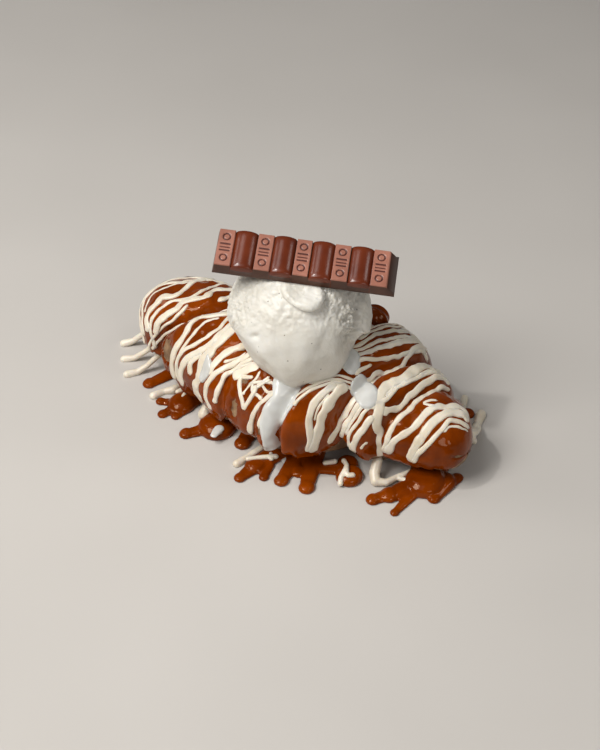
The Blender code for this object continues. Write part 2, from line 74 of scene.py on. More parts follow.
# x on the middle line, lean, depth, half width, step, side that stands higher
SEAMS = (
    (-0.0475, 0.0255, 0.0042, 0.0046, 0.0010, 1),
    (-0.020, 0.004, 0.0012, 0.0025, 0.0016, -1),
    (0.002, 0.005, 0.0016, 0.0025, 0.0010, 1),
    (0.018, 0.009, 0.0035, 0.0035, 0.0005, 1),
    (0.040, 0.010, 0.0038, 0.0035, 0.0014, -1),
    (0.057, 0.009, 0.0022, 0.0030, 0.0010, -1),
)
COAT_THICKNESS = 0.0012  # of the chocolate over the pastry
BARE_DEPTH = 0.0010  # how far the coat's sheet dives below bare pastry
COAT_EDGE_WIDTH = 0.0014  # over which the coat's rim rounds off
COAT_FRONT_EDGE = 204.0  # degrees, lower edge of the coat at the front
COAT_BACK_EDGE = -26.0  # and at the back
DEGREE_LENGTH = 0.00060  # length of one degree round the roll
SWELL = 0.0011  # height of the coat's soft unevenness
CREASE_DEPTH = 0.0030  # of the deepest crease between the folds
CREASE_WIDTH = 0.0014
CREASE_REACH = 0.0060  # over which the coat thickens beside a crease
CREASE_BANK = 0.6  # height of that thickening, as a share of the crease's depth
SWELL_RATES = (95.0, 255.0)  # noise cycles a metre of its broad and its small unevenness
BEAD_ABOVE = 9.0  # degrees above the coat's lower edge at which its bead is thickest
BEAD_SPREAD = 11.0  # degrees
COAT_GRID = (0.0006, 330)  # length between the coat's sections, points round each
PASTRY_GRID = (0.0009, 200)
RIDGE_HEIGHT = 0.00025  # of the thin ridges in the bare pastry
SHEET_BOTTOM = 0.0002  # lowest level of the coat and the melt
PROBE_LENGTH = 0.0004  # steps over which the roll's surface is probed for its direction
PROBE_DEGREES = 0.6
END_RINGS = 26  # sections over the rounding of either end
# waves of the coat's edges: height in degrees, radians a metre, shift
FRONT_EDGE_WAVES = ((2.5, 900.0, 0.0), (1.5, 2100.0, 1.0))
BACK_EDGE_WAVES = ((3.0, 700.0, 2.0),)

# lobes of the coat's lower edge: x, half width, degrees that the edge drops, bead height
COAT_LOBES = (
    (-0.052, 0.0050, 10.0, 0.0008),
    (-0.030, 0.0045, 12.0, 0.0010),
    (0.0122, 0.0024, 2.0, 0.0022),
    (0.0172, 0.0026, 7.0, 0.0024),
    (0.0225, 0.0040, 12.0, 0.0012),
    (0.0420, 0.0040, 8.0, 0.0008),
    (0.0620, 0.0050, 6.0, 0.0006),
)
# bare places in the coat: x, angle, half length along x, half width in degrees
BARE_PATCHES = (
    (-0.0645, 169.0, 0.0046, 14.0),
    (-0.0162, 174.0, 0.0017, 10.0),
    (-0.0142, 141.0, 0.0014, 3.5),
    (0.0000, 178.0, 0.0012, 8.0),
    (0.0818, 166.0, 0.0013, 6.0),
    (-0.0915, 168.0, 0.0018, 10.0),
)

# ---- white drizzle on the roll: width, then the route as (x, angle) ----
DRIZZLE = (
    # left end
    (0.0024, ((-0.06, 30), (-0.069, 52), (-0.08, 60), (-0.0845, 75), (-0.0873, 88), (-0.0915, 99),
        (-0.0935, 115), (-0.0932, 135), (-0.0905, 155), (-0.087, 172), (-0.086, 196))),
    (0.0018, ((-0.06, 42), (-0.068, 58), (-0.075, 68), (-0.0785, 82), (-0.0845, 90), (-0.0885, 97),
        (-0.0905, 114), (-0.0895, 132), (-0.0865, 152), (-0.084, 176))),
    (0.0032, ((-0.067, 46), (-0.072, 70), (-0.073, 90), (-0.0745, 102), (-0.079, 109), (-0.0805, 118),
        (-0.0825, 133), (-0.0825, 148), (-0.08, 162))),
    (0.0018, ((-0.056, 36), (-0.0615, 62), (-0.0635, 82), (-0.0653, 95), (-0.0692, 102), (-0.0747, 111),
        (-0.0773, 124), (-0.0793, 138), (-0.0797, 150), (-0.0785, 164), (-0.0775, 190))),
    (0.0032, ((-0.048, 34), (-0.0535, 62), (-0.0585, 77), (-0.059, 89), (-0.0633, 96), (-0.0683, 106),
        (-0.0697, 117), (-0.0729, 129), (-0.0757, 145), (-0.0765, 162))),
    (0.0015, ((-0.0648, 106), (-0.066, 116), (-0.0687, 130), (-0.0725, 144), (-0.0757, 160), (-0.08, 182),
        (-0.082, 200))),
    (0.0013, ((-0.064, 48), (-0.07, 60), (-0.0755, 78), (-0.081, 94), (-0.0862, 108), (-0.0868, 124),
        (-0.0862, 140))),
    # edge of the second fold along the first seam
    (0.0016, ((-0.04, 76), (-0.044, 90), (-0.052, 100), (-0.056, 105), (-0.0575, 113), (-0.0595, 121),
        (-0.0645, 128), (-0.068, 140), (-0.072, 156), (-0.0755, 174), (-0.0795, 194))),
    (0.0034, ((-0.037, 80), (-0.0415, 95), (-0.0492, 105), (-0.055, 114), (-0.056, 124), (-0.0562, 137),
        (-0.0578, 151), (-0.059, 163), (-0.059, 178), (-0.058, 196))),
    (0.0016, ((-0.0435, 104), (-0.047, 109), (-0.0495, 115), (-0.051, 125), (-0.0522, 137), (-0.054, 150),
        (-0.0553, 164), (-0.055, 184))),
    # second fold
    (0.002, ((-0.0385, 92), (-0.0395, 104), (-0.04, 113), (-0.0426, 124), (-0.0454, 132), (-0.049, 142),
        (-0.0523, 150), (-0.0548, 159), (-0.0556, 168), (-0.0558, 179), (-0.0545, 194))),
    (0.0036, ((-0.034, 94), (-0.0355, 106), (-0.037, 116), (-0.0384, 127), (-0.0407, 135), (-0.0444, 144),
        (-0.048, 152), (-0.0504, 161), (-0.052, 171), (-0.0527, 182), (-0.0517, 196))),
    (0.0032, ((-0.0415, 140), (-0.0439, 148), (-0.046, 156), (-0.0462, 163), (-0.0454, 170))),
    (0.0044, ((-0.031, 98), (-0.033, 109), (-0.0343, 119), (-0.0363, 128), (-0.0372, 136), (-0.0392, 144),
        (-0.0402, 153), (-0.0392, 162), (-0.04, 170), (-0.041, 177), (-0.04, 187), (-0.038, 198))),
    (0.0034, ((-0.0225, 112), (-0.0242, 117), (-0.027, 123), (-0.0294, 130), (-0.0316, 139), (-0.033, 147),
        (-0.0339, 155))),
    (0.0012, ((-0.0205, 118), (-0.0222, 124), (-0.0248, 131), (-0.028, 137))),
    (0.0028, ((-0.018, 118), (-0.0195, 122), (-0.0223, 128), (-0.024, 135), (-0.0267, 142), (-0.03, 150),
        (-0.0319, 159), (-0.0334, 168), (-0.0334, 176), (-0.0318, 184), (-0.03, 193))),
    (0.0022, ((-0.015, 119), (-0.0162, 123), (-0.0196, 129), (-0.0221, 138), (-0.0245, 145), (-0.0254, 152),
        (-0.026, 162), (-0.0266, 171), (-0.0273, 178))),
    (0.004, ((-0.01, 125), (-0.013, 127), (-0.016, 132), (-0.019, 139), (-0.0195, 146))),
    (0.0012, ((-0.013, 122), (-0.0165, 127), (-0.02, 134), (-0.0225, 142))),
    # lattice on the third fold
    (0.002, ((-0.0102, 135), (-0.013, 137), (-0.0165, 140), (-0.0158, 147), (-0.0137, 154), (-0.0117, 160),
        (-0.0098, 165), (-0.0088, 159), (-0.0074, 150), (-0.0071, 145), (-0.0074, 140))),
    (0.0012, ((-0.0087, 127), (-0.0085, 134), (-0.0102, 141), (-0.0116, 148), (-0.0124, 154))),
    (0.0014, ((-0.0112, 142), (-0.0056, 135), (-0.001, 132), (0.002, 133))),
    (0.0014, ((-0.0083, 145), (-0.0048, 136), (-0.002, 130))),
    (0.0013, ((-0.0045, 137), (-0.0036, 139), (-0.0017, 141), (0.0014, 140), (0.004, 138))),
    (0.0015, ((-0.0095, 138), (-0.008, 146), (-0.0045, 148), (-0.0025, 150))),
    (0.0012, ((-0.003, 128), (-0.0045, 133), (-0.0072, 141))),
    (0.0024, ((0.006, 136), (0.0038, 139), (0.0017, 142), (-0.0005, 149), (-0.003, 156), (-0.0041, 163),
        (-0.005, 172), (-0.0058, 182), (-0.0057, 194))),
    (0.0015, ((0.0014, 153), (0.001, 158), (0.0005, 166), (0.0005, 175))),
    # between the scoop and the thick fold
    (0.0014, ((0.029, 129), (0.025, 130), (0.0205, 134), (0.0173, 138), (0.0149, 144), (0.0136, 149))),
    (0.0012, ((0.025, 126), (0.02, 131), (0.016, 135), (0.0135, 140), (0.0122, 146))),
    (0.0016, ((0.0345, 134), (0.0305, 132), (0.0275, 131), (0.0255, 132), (0.0235, 137))),
    (0.0012, ((0.0335, 125), (0.03, 125), (0.0255, 124), (0.0215, 126), (0.0165, 131))),
    (0.001, ((0.035, 129), (0.033, 128), (0.0298, 128), (0.0265, 127), (0.023, 128))),
    # the thick fold
    (0.003, ((0.027, 132), (0.025, 135), (0.0229, 142), (0.0217, 150), (0.0216, 160), (0.0222, 169),
        (0.0228, 179), (0.0224, 192), (0.0217, 203))),
    (0.0044, ((0.0305, 132), (0.0284, 136), (0.0273, 145), (0.0266, 153), (0.0259, 160), (0.0255, 170),
        (0.025, 181), (0.0238, 194), (0.0225, 205))),
    (0.001, ((0.0256, 139), (0.0242, 149), (0.0238, 156), (0.0238, 164))),
    # the fold right of it
    (0.0032, ((0.0365, 137), (0.0343, 142), (0.0335, 151), (0.0326, 161), (0.031, 171), (0.0296, 183),
        (0.0284, 196))),
    (0.0024, ((0.0405, 138), (0.0378, 141), (0.0366, 149), (0.0357, 158), (0.0346, 167), (0.0334, 177),
        (0.032, 190), (0.031, 199))),
    (0.0015, ((0.043, 137), (0.0402, 139), (0.0387, 146), (0.038, 153), (0.0372, 160), (0.036, 168),
        (0.0348, 180))),
    (0.0016, ((0.045, 136), (0.0426, 138), (0.0408, 146), (0.04, 154), (0.0387, 162), (0.0372, 173),
        (0.0365, 184), (0.0367, 197))),
    (0.003, ((0.045, 144), (0.0436, 153), (0.0423, 162), (0.041, 170), (0.0397, 179), (0.0387, 192),
        (0.0384, 203))),
    # a short white dash laid where the coat shines: a painted highlight
    (0.0014, ((0.0425, 186), (0.0438, 178), (0.0452, 174))),
    (0.0044, ((0.052, 38), (0.051, 58), (0.05, 72), (0.0495, 86), (0.0485, 98), (0.046, 105), (0.0445, 111),
        (0.044, 120), (0.0448, 129), (0.046, 137), (0.0464, 145), (0.0469, 154), (0.0478, 165),
        (0.048, 179), (0.0482, 194), (0.0485, 205))),
    (0.002, ((0.058, 40), (0.056, 57), (0.0545, 69), (0.0525, 86), (0.051, 97), (0.0495, 102), (0.048, 109),
        (0.0475, 117), (0.0469, 124), (0.045, 130), (0.043, 133), (0.0405, 136), (0.0375, 138),
        (0.035, 139), (0.033, 142))),
    # right end
    (0.0013, ((0.0545, 62), (0.0528, 76), (0.051, 90), (0.049, 99), (0.0468, 110), (0.046, 122))),
    (0.0032, ((0.061, 34), (0.059, 47), (0.0572, 67), (0.0558, 82), (0.0545, 97), (0.0532, 106),
        (0.0523, 115), (0.0512, 125), (0.0494, 132), (0.047, 138))),
    (0.0024, ((0.063, 38), (0.0608, 60), (0.0596, 81), (0.0582, 94), (0.0567, 107), (0.0565, 118),
        (0.0556, 127), (0.0539, 137), (0.0528, 148), (0.0522, 159), (0.0522, 172), (0.0515, 190))),
    (0.003, ((0.0775, 50), (0.075, 60), (0.0725, 72), (0.07, 88), (0.0675, 95), (0.0654, 104),
        (0.0637, 115), (0.0625, 130), (0.0606, 144), (0.058, 156), (0.0557, 164), (0.054, 175),
        (0.053, 190))),
    (0.004, ((0.079, 60), (0.0765, 72), (0.073, 88), (0.0708, 99), (0.069, 114), (0.0675, 130),
        (0.0664, 146), (0.0649, 159), (0.064, 173), (0.0636, 192))),
    (0.0022, ((0.0805, 66), (0.0785, 82), (0.0755, 95), (0.0735, 104), (0.073, 120), (0.0713, 137),
        (0.07, 152), (0.0683, 163), (0.0658, 177), (0.0645, 192))),
    (0.0012, ((0.0812, 74), (0.0795, 90), (0.077, 100), (0.0748, 112), (0.0738, 126))),
    (0.0012, ((0.065, 92), (0.0625, 98), (0.0605, 106), (0.064, 104), (0.0665, 100))),
    # behind and right of the scoop
    (0.0018, ((0.042, 20), (0.0362, 62), (0.0335, 80), (0.029, 95), (0.0235, 106))),
    (0.002, ((0.044, 26), (0.0388, 66), (0.036, 84), (0.0305, 100), (0.025, 112))),
    (0.0022, ((0.046, 34), (0.0412, 72), (0.0385, 88), (0.0345, 101), (0.029, 110), (0.025, 117))),
    (0.0018, ((0.038, 16), (0.0332, 58), (0.03, 76), (0.0265, 92), (0.022, 101))),
    (0.0016, ((0.035, 22), (0.0305, 56), (0.027, 75), (0.0235, 90))),
    (0.0014, ((0.04, 40), (0.0372, 70), (0.0345, 88), (0.03, 102), (0.0262, 112))),
    (0.0028, ((0.047, 34), (0.043, 50), (0.042, 70), (0.0425, 85), (0.0415, 92), (0.0393, 99),
        (0.0375, 103), (0.036, 109), (0.0352, 117), (0.0345, 124))),
    (0.0016, ((0.0384, 102), (0.0374, 110), (0.0368, 119))),
    (0.0016, ((0.0345, 106), (0.0328, 113), (0.0312, 121))),
    (0.0016, ((0.056, 24), (0.054, 60), (0.0526, 84))),
)
DRIZZLE_RISE = 0.22  # height of a strand, as a share of its width
DRIZZLE_MOST = 0.0006  # and the most that it rises
DRIZZLE_SPREAD = 1.12  # how much wider the strands sank than they were laid
STRAND_LAYER = 0.00012  # by which crossing strands lie on one another
STRAND_STEP = 0.0009  # between the sections of a strand
STRAND_PROFILE = np.linspace(-1.0, 1.0, 9)
STRAND_DOME = np.sqrt(1.0 - np.abs(STRAND_PROFILE) ** 3.0)[None, :, None]
STRAND_BED = 0.0001  # how deep a strand's edges lie in the coat
STRAND_SINK = 0.0007  # and its foot
STRAND_FOOT = 0.9  # width of the foot, as a share
STRAND_WANDER = 0.0004  # how far a strand strays along x
STRAND_WANDER_RATE = 160.0  # noise cycles a metre
STRAND_PULSE = 0.34  # by which its width changes, as a share
STRAND_PULSE_RATE = 230.0
STRAND_HEAD = 0.30  # how much wider its last drop is
STRAND_HEAD_SPREAD = 0.9  # length of that drop, as a share of the width
STRAND_ROUNDING = 0.6  # length of its round ends, as a share of the width
# strands over the back, which hang from the crest: first and last x, spacing
BACK_STRANDS = (-0.050, 0.034, 0.0062)
# the route of each: distance along x, share of its shift there, angle
BACK_ROUTE = ((0.01, 1.6, -6.0), (0.0085, 1.0, 16.0), (0.0055, 0.0, 34.0),
              (0.0025, -0.4, 60.0), (-0.003, 0.0, 86.0))
# how fast their shift, their reach and their width change from one to the next, in radians
BACK_RATES = (2.4, 1.3, 1.9)
BACK_SHIFT = 0.0034  # most that one is shifted along x
BACK_FIRST_SEED = 100
BACK_WIDTH = 0.0024
BACK_WIDTH_CHANGE = 0.0011  # most that one is wider or narrower
BACK_REACH_CHANGE = 12.0  # degrees that one ends lower or higher

# ---- melted ice cream on the roll: (x, angle, width) ----
MELT_RUNS = (
    ((0.005, 112, 0.014), (0.006, 124, 0.013), (0.0068, 133, 0.011), (0.008, 141, 0.01),
        (0.0074, 149, 0.011), (0.0058, 158, 0.011), (0.0053, 165, 0.0092), (0.0048, 173, 0.007),
        (0.0046, 181, 0.005), (0.005, 191, 0.0042), (0.0052, 203, 0.006)),
    ((0.023, 103, 0.006), (0.0262, 109, 0.0076), (0.0284, 114, 0.0066), (0.0296, 118, 0.0036)),
    ((0.0338, 120, 0.003), (0.0352, 124, 0.007), (0.0374, 129, 0.0125), (0.0384, 133, 0.0118),
        (0.0388, 137, 0.006)),
    ((-0.0372, 140, 0.003), (-0.0362, 148, 0.0056), (-0.036, 155, 0.0052), (-0.0372, 164, 0.0036)),
)
MELT_RISE = 0.0011  # above the roll, and so a little above its coat
MELT_DIVE = 0.0016  # how far its sheet goes below beyond its rim
MELT_RIM = 0.0018  # over which it rounds off
MELT_BACKING = 0.0006  # thickness of its sheet
MELT_GRID = (0.0005, 190)  # length between its rows, points in each
MELT_STEPS = 12  # round spots for each control of a run
MELT_RAGGED = 0.0007  # unevenness of its rim
MELT_UNEVEN = 0.0003  # and of its face
MELT_CREASE = 0.8  # share of the coat's creases that show through it
MELT_REACH = (-0.045, 0.049, 100.0, 212.0)  # first and last x, first and last angle

# ---- sauce round the foot, and what lies on it ----
PUDDLE_HEIGHT = 0.62  # of the fingers, as a share of their radius
BEAD_HEIGHT = 1.2 * PUDDLE_HEIGHT
BEAD_LENGTH = 0.2  # how far a bead is drawn out, as a share of its radius
FINGER_FULLNESS = 1.10  # of the rounded tips, against the finger's own radius
# rings of the low dome that each end of a finger is made of: shares of its radius and height
DOME_RINGS = ((0.97, 0.0), (1.0, 0.25), (0.92, 0.55), (0.70, 0.84), (0.38, 0.97))
DOME_SIDES = 28
SAUCE_VOXEL = 0.0005  # size of the cells in which the fingers melt together
THIN_VOXEL = 0.0004  # and of those for the strays and the small pools
# fingers of sauce: x, y and radius at the root, then at the tip
FINGERS = (
    (-0.067, 0.002, 0.0045, -0.076, -0.021, 0.003),
    (-0.052, -0.01, 0.0075, -0.054, -0.026, 0.006),
    (-0.054, -0.024, 0.0035, -0.064, -0.029, 0.0022),
    (-0.054, -0.026, 0.0035, -0.058, -0.036, 0.0024),
    (-0.051, -0.026, 0.0035, -0.052, -0.034, 0.0022),
    (-0.029, -0.016, 0.008, -0.031, -0.031, 0.008),
    (-0.034, -0.033, 0.004, -0.041, -0.042, 0.003),
    (-0.017, -0.016, 0.005, -0.015, -0.034, 0.0036),
    (0.005, -0.018, 0.0063, -0.002, -0.044, 0.0045),
    (-0.002, -0.044, 0.004, -0.004, -0.054, 0.0026),
    (0.002, -0.04, 0.0036, 0.005, -0.048, 0.0022),
    (0.01, -0.02, 0.0045, 0.013, -0.046, 0.0032),
    (0.013, -0.034, 0.0032, 0.017, -0.037, 0.003),
    (0.015, -0.016, 0.005, 0.025, -0.044, 0.0034),
    (0.02, -0.031, 0.0036, 0.033, -0.025, 0.0036),
    (0.033, -0.02, 0.005, 0.038, -0.028, 0.0056),
    (0.066, 0.001, 0.0085, 0.069, -0.014, 0.0085),
    (0.068, -0.014, 0.0065, 0.059, -0.029, 0.004),
    (0.06, -0.026, 0.004, 0.054, -0.035, 0.003),
    (0.076, -0.008, 0.006, 0.077, -0.02, 0.0028),
    (0.08, -0.002, 0.003, 0.077, -0.018, 0.0026),
    (0.068, -0.02, 0.003, 0.066, -0.037, 0.002),
    (0.052, 0.012, 0.0055, 0.065, 0.04, 0.003),
)
TRAIL_REST = 0.35  # middle of a round strand above its place, as a share of its radius
# white strands that hang from the roll to the floor, and white on the sauce:
# x, y, height and radius along each
TRAILS = (
    ((-0.09, 0.006, 0.012, 0.0016), (-0.095, 0.0035, 0.007, 0.0015), (-0.0998, 0.0005, 0.002, 0.0016),
        (-0.104, -0.002, 0.0, 0.0021)),
    ((-0.083, -0.003, 0.01, 0.0015), (-0.0878, -0.006, 0.005, 0.0014), (-0.0925, -0.0092, 0.001, 0.0015),
        (-0.097, -0.012, 0.0, 0.0019)),
    ((-0.078, -0.009, 0.009, 0.0015), (-0.082, -0.013, 0.0035, 0.0014), (-0.0855, -0.0172, 0.0006, 0.0016),
        (-0.089, -0.021, 0.0, 0.002)),
    ((-0.059, -0.009, 0.005, 0.0013), (-0.062, -0.015, 0.0012, 0.0014), (-0.0632, -0.0195, 0.0006, 0.0021),
        (-0.0668, -0.0222, 0.0, 0.0016), (-0.069, -0.0275, 0.0, 0.0021)),
    ((-0.056, -0.016, 0.004, 0.0012), (-0.059, -0.0215, 0.003, 0.0013)),
    ((-0.055, -0.018, 0.004, 0.0011), (-0.0545, -0.0245, 0.0034, 0.0012)),
    ((-0.004, -0.026, 0.002, 0.0014), (-0.0055, -0.033, 0.0012, 0.0016), (-0.008, -0.04, 0.0, 0.0018),
        (-0.01, -0.047, 0.0, 0.002)),
    ((0.064, 0.022, 0.012, 0.0016), (0.0638, 0.033, 0.005, 0.0016), (0.0615, 0.042, 0.001, 0.0017),
        (0.059, 0.0495, 0.0, 0.002)),
    ((0.0765, 0.011, 0.016, 0.0018), (0.0768, 0.019, 0.0095, 0.0024), (0.0742, 0.029, 0.003, 0.0026),
        (0.0724, 0.035, 0.0, 0.0019), (0.0708, 0.043, 0.0, 0.0025)),
    ((0.0775, 0.015, 0.011, 0.0016), (0.0778, 0.019, 0.005, 0.0017)),
    ((-0.0397, -0.0237, 0.013, 0.0013), (-0.0394, -0.026, 0.008, 0.0015),
        (-0.0393, -0.0279, 0.0045, 0.0024), (-0.0391, -0.0292, 0.003, 0.003)),
    ((-0.006, -0.044, 0.003, 0.0011), (-0.001, -0.04, 0.0032, 0.0012), (0.004, -0.0355, 0.0026, 0.0013)),
    ((0.001, -0.035, 0.0026, 0.001), (0.003, -0.038, 0.0028, 0.0012)),
    ((0.025, -0.0271, 0.0022, 0.0012), (0.0283, -0.024, 0.0022, 0.0014)),
    ((0.0325, -0.023, 0.004, 0.0013), (0.0352, -0.0252, 0.0046, 0.0011), (0.0366, -0.0285, 0.0045, 0.0016),
        (0.0362, -0.0322, 0.003, 0.0013), (0.0372, -0.0346, 0.0014, 0.0014)),
    ((0.0366, -0.029, 0.0044, 0.0014), (0.0388, -0.0306, 0.004, 0.0011), (0.0403, -0.029, 0.0036, 0.0014)),
    ((0.047, -0.018, 0.007, 0.0024), (0.048, -0.0225, 0.0026, 0.0026), (0.05, -0.025, 0.0012, 0.0024)),
    ((0.05, -0.025, 0.0012, 0.0022), (0.0545, -0.023, 0.0012, 0.0017), (0.057, -0.0175, 0.0014, 0.0014),
        (0.061, -0.012, 0.0024, 0.0014)),
    ((0.057, -0.0175, 0.0014, 0.0012), (0.0615, -0.018, 0.002, 0.0014)),
)
# puddles of melted ice cream on the floor, and a pale drop in the same material on a finger of sauce, a
# painted highlight, as fingers
MELT_POOLS = (
    (-0.004, -0.024, 0.0050, -0.003, -0.030, 0.0046),
    (0.002, -0.030, 0.0030, 0.013, -0.034, 0.0024),
)
HIGHLIGHT_DROP = (-0.0268, -0.0398, 0.0018, -0.0272, -0.0348, 0.0026)
HIGHLIGHT_DROP_LEVEL = 0.0046  # of the drop's underside
POOL_HEIGHT = 0.35  # as a share of the radius
DROP_HEIGHT = 0.62
# the coated lump behind the scoop: middle, radius, height and tightness of its swirl
LUMP_CENTRE = Vector((0.018, 0.029, 0.0455))
LUMP_RADIUS = 0.0068
LUMP_SWIRL = 0.0004
LUMP_TIGHTNESS = 9.0

# ---- ice cream ----
SCOOP_CENTRE = Vector((-0.0022, -0.0085, 0.0640))
SCOOP_RADIUS = 0.0312
SCOOP_STRETCH = 0.0021  # that the ball is longer along its axis
SCOOP_AXIS = Vector((-0.338, 0.544, 0.768)).normalized()
# the scoop's own directions: out to the side that the bar leans over, sideways and up
SCOOP_FRONT = Vector((0.372, -0.672, 0.640)).normalized()
SCOOP_SIDE = Vector((0.865, 0.502, 0.024)).normalized()
SCOOP_UP = SCOOP_FRONT.cross(SCOOP_SIDE).normalized()
# where the ball is flattened, low on its left, and by how much
SCOOP_FLAT_SIDE = (-0.72 * SCOOP_SIDE - 0.69 * SCOOP_UP).normalized()
SCOOP_FLAT_DEPTH = 0.0044
SCOOP_VOXEL = 0.0005
# its soft unevenness: height, noise cycles over the radius, offset of the noise
SCOOP_BROAD = ((0.0009, 2.3, 0.0), (0.0005, 5.5, 2.0))
SCOOP_FINE = (13.0, 7.0)  # cycles and offset of its fine relief
SCOOP_GRAIN = (30.0, 3.0)  # and of its grain
MOTTLED_FINE = 0.00050  # their heights on its upper front
MOTTLED_GRAIN = 0.00024
SCOOP_UNDERCUT = 0.0030  # depth of the hollow below its right side
# patches of relief: place sideways and up, half width and half height, all as shares of the
# radius, then how far each stands out and the heights of its fine and its grainy relief
SCOOP_PATCHES = (
    (0.76, -0.20, 0.12, 0.26, -0.0014, 0.0016, 0.0013),
    (0.44, 0.24, 0.09, 0.17, -0.0004, 0.0006, 0.0009),
    (-0.86, 0.10, 0.12, 0.42, 0.0, 0.0008, 0.0007),
    (-0.58, -0.31, 0.05, 0.035, -0.0013, 0.0, 0.0),
    (-0.16, 0.02, 0.05, 0.04, -0.0008, 0.0, 0.0),
)
# the flange up its right side and the groove beside it: angle from the front and half width
# in radians, height, then the levels between which each rises and those where it fades
SCOOP_RIDGES = (
    (1.35, 0.16, 0.0020, -0.30, -0.20, 0.45, 0.75),
    (1.05, 0.10, -0.0020, -0.45, -0.30, 0.05, 0.35),
)
# the folded lip: place sideways, up and outwards, then length, width and thickness
PETAL_PLACE = (0.095, 0.225, 0.0003)
PETAL_SIZE = (0.0092, 0.0078, 0.0026)
PETAL_TILT = math.radians(-13.0)
PETAL_TAPER = 0.22  # how much it narrows and shifts downwards
PETAL_HOLLOW = 0.55  # depth of its hollow, as a share of its thickness
PETAL_HOLLOW_REACH = 0.62
TAB_PLACE = (0.87, -0.30, -0.0008)  # the small lobe at the right
TAB_RADIUS = 0.0036
PRESS_MARGIN = 0.0015  # beside the bar, over which the scoop is pressed less
PRESS_SLOPE = 1.2
PRESS_GAP = 0.0002

# ---- chocolate bar ----
BAR_CENTRE = Vector((0.0025, -0.0135, 0.1008))
BAR_LENGTH = 0.0738
BAR_WIDTH = 0.0180
BAR_PANEL_HEIGHT = 0.0060
BAR_VALLEY_HEIGHT = 0.0042
BAR_HUMP_TOP = 0.0069
BAR_HUMP_LEVEL = 0.0032  # from which the humps' sides curve up
BAR_SIDE_DRAFT = 0.0009
BAR_LEFT_DRAFT = 0.0009  # lean of the end faces
BAR_RIGHT_DRAFT = 0.0040
BAR_HUMPS = 4
HUMP_LENGTH = 0.135 * BAR_LENGTH
PANEL_LENGTH = (BAR_LENGTH - BAR_HUMPS * HUMP_LENGTH) / (BAR_HUMPS + 1)
BAR_HUMP_OVERHANG = 0.0006
HUMP_END_POWER = 6.0
BAR_HUMP_FOOT = 0.0022  # above which a hump is glossy
BAR_STEP = 0.0002  # between the bar's sections
BAR_TOP_POINTS = 73
BAR_CORNER = 0.0005  # rounding of the panels' edges
BAR_HUMP_LOWEST = 0.55 * BAR_VALLEY_HEIGHT
BAR_EDGE = 0.0006  # height of the first points above the underside
BAR_EDGE_INSET = 0.0002  # how far they lie inside its edge
BAR_SHOULDER = 0.0054  # height at which its ends round into the top
SHOULDER_SHARE = 0.12  # of the end's lean that is left at that height
BAR_TURN = math.radians(22.0)
BAR_LEAN = math.radians(23.5)
BAR_ROLL = math.radians(3.6)
MARK_DEPTH = 0.0004  # of the grooves pressed into the panels
MARK_WIDTH = 0.00034  # from the middle of a groove to its side
MARK_RING_PLACE = 0.0052  # from the middle of a panel to the middle of each ring
MARK_RING_RADIUS = 0.0015
MARK_LINE_PITCH = 0.0016  # between the straight grooves in the middle of a panel
MARK_LINE_HALF = 0.0023  # half the length of a groove
MARK_SHADE_SHARE = 0.45  # share of the depth from which a mark takes painted shade
# the bar's surfaces: name, dark and light screen colour, lowest and highest roughness; one chocolate,
# painted lighter on the panels as sheen and darker on the sides and in the pressed marks as shade
BAR_LOOKS = (
    ("bar panel painted sheen", (148, 94, 76), (172, 114, 95), 0.34, 0.46),
    ("bar hump", (90, 34, 13), (110, 47, 22), 0.20, 0.30),
    ("bar side painted shade", (62, 32, 18), (82, 46, 28), 0.30, 0.42),
    ("bar mark painted shade", (70, 26, 18), (84, 34, 24), 0.40, 0.50),
)
# indices of the looks: the humps', and the painted shade of the sides and of the pressed marks
HUMP_LOOK, SIDE_SHADE_LOOK, MARK_SHADE_LOOK = 1, 2, 3

# ---- camera, lights and floor ----
CAMERA_AZIMUTH = math.radians(29.0)
CAMERA_ELEVATION = math.radians(39.8)
CAMERA_ROLL = math.radians(1.8)
CAMERA_DISTANCE = 0.750
CAMERA_TARGET = Vector((-0.0095, 0.0091, 0.0140))
CAMERA_LENS = 75.85  # millimetres, as Blender takes it
CAMERA_CLIP = 0.01
FLOOR_SIZE = 3.0
FLOOR_LEVEL = -0.0001
LIGHTS_TARGET = Vector((0.0, 0.0, 0.03))
LAMP_WHITE = (1.0, 0.99, 0.97)
# name, azimuth and elevation in degrees, distance, size, power, colour
LIGHTS = (
    ("key", -28.0, 48.0, 1.40, 0.60, 13.2, (1.0, 0.985, 0.96)),
    ("spark", -36.0, 62.0, 0.60, 0.022, 0.80, LAMP_WHITE),
    ("front", 0.0, 58.0, 1.00, 0.60, 0.8, LAMP_WHITE),
    ("right", 58.0, 28.0, 1.00, 0.30, 1.1, LAMP_WHITE),
    ("top", -85.0, 72.0, 0.85, 0.22, 0.5, LAMP_WHITE),
    ("back right", 125.0, 53.0, 1.00, 0.24, 0.8, LAMP_WHITE),
    ("left", -78.0, 46.0, 1.00, 0.24, 0.8, LAMP_WHITE),
)
ROOM_COLOUR = (0.95, 0.95, 0.96, 1.0)
ROOM_STRENGTH = 0.09


# ======== shape helpers ========
def smooth_through(position, places, values):
    """Values at positions on a smooth curve through the given places and values."""
    position = np.asarray(position, float)
    slopes = np.gradient(values, places, edge_order=1)
    index = np.clip(np.searchsorted(places, position) - 1, 0, len(places) - 2)
    span = places[index + 1] - places[index]
    t = np.clip((position - places[index]) / span, 0.0, 1.0)
    start = (2 * t**3 - 3 * t**2 + 1) * values[index]
    end = (3 * t**2 - 2 * t**3) * values[index + 1]
    leave = (t**3 - 2 * t**2 + t) * span * slopes[index]
    arrive = (t**3 - t**2) * span * slopes[index + 1]
    return start + end + leave + arrive


def smooth_step(low, high, value):
    """0 below low, 1 above high and a smooth rise between them."""
    t = np.clip((np.asarray(value, float) - low) / (high - low), 0.0, 1.0)
    return t * t * (3.0 - 2.0 * t)


def signed_power(value, power):
    return np.sign(value) * np.abs(value) ** power


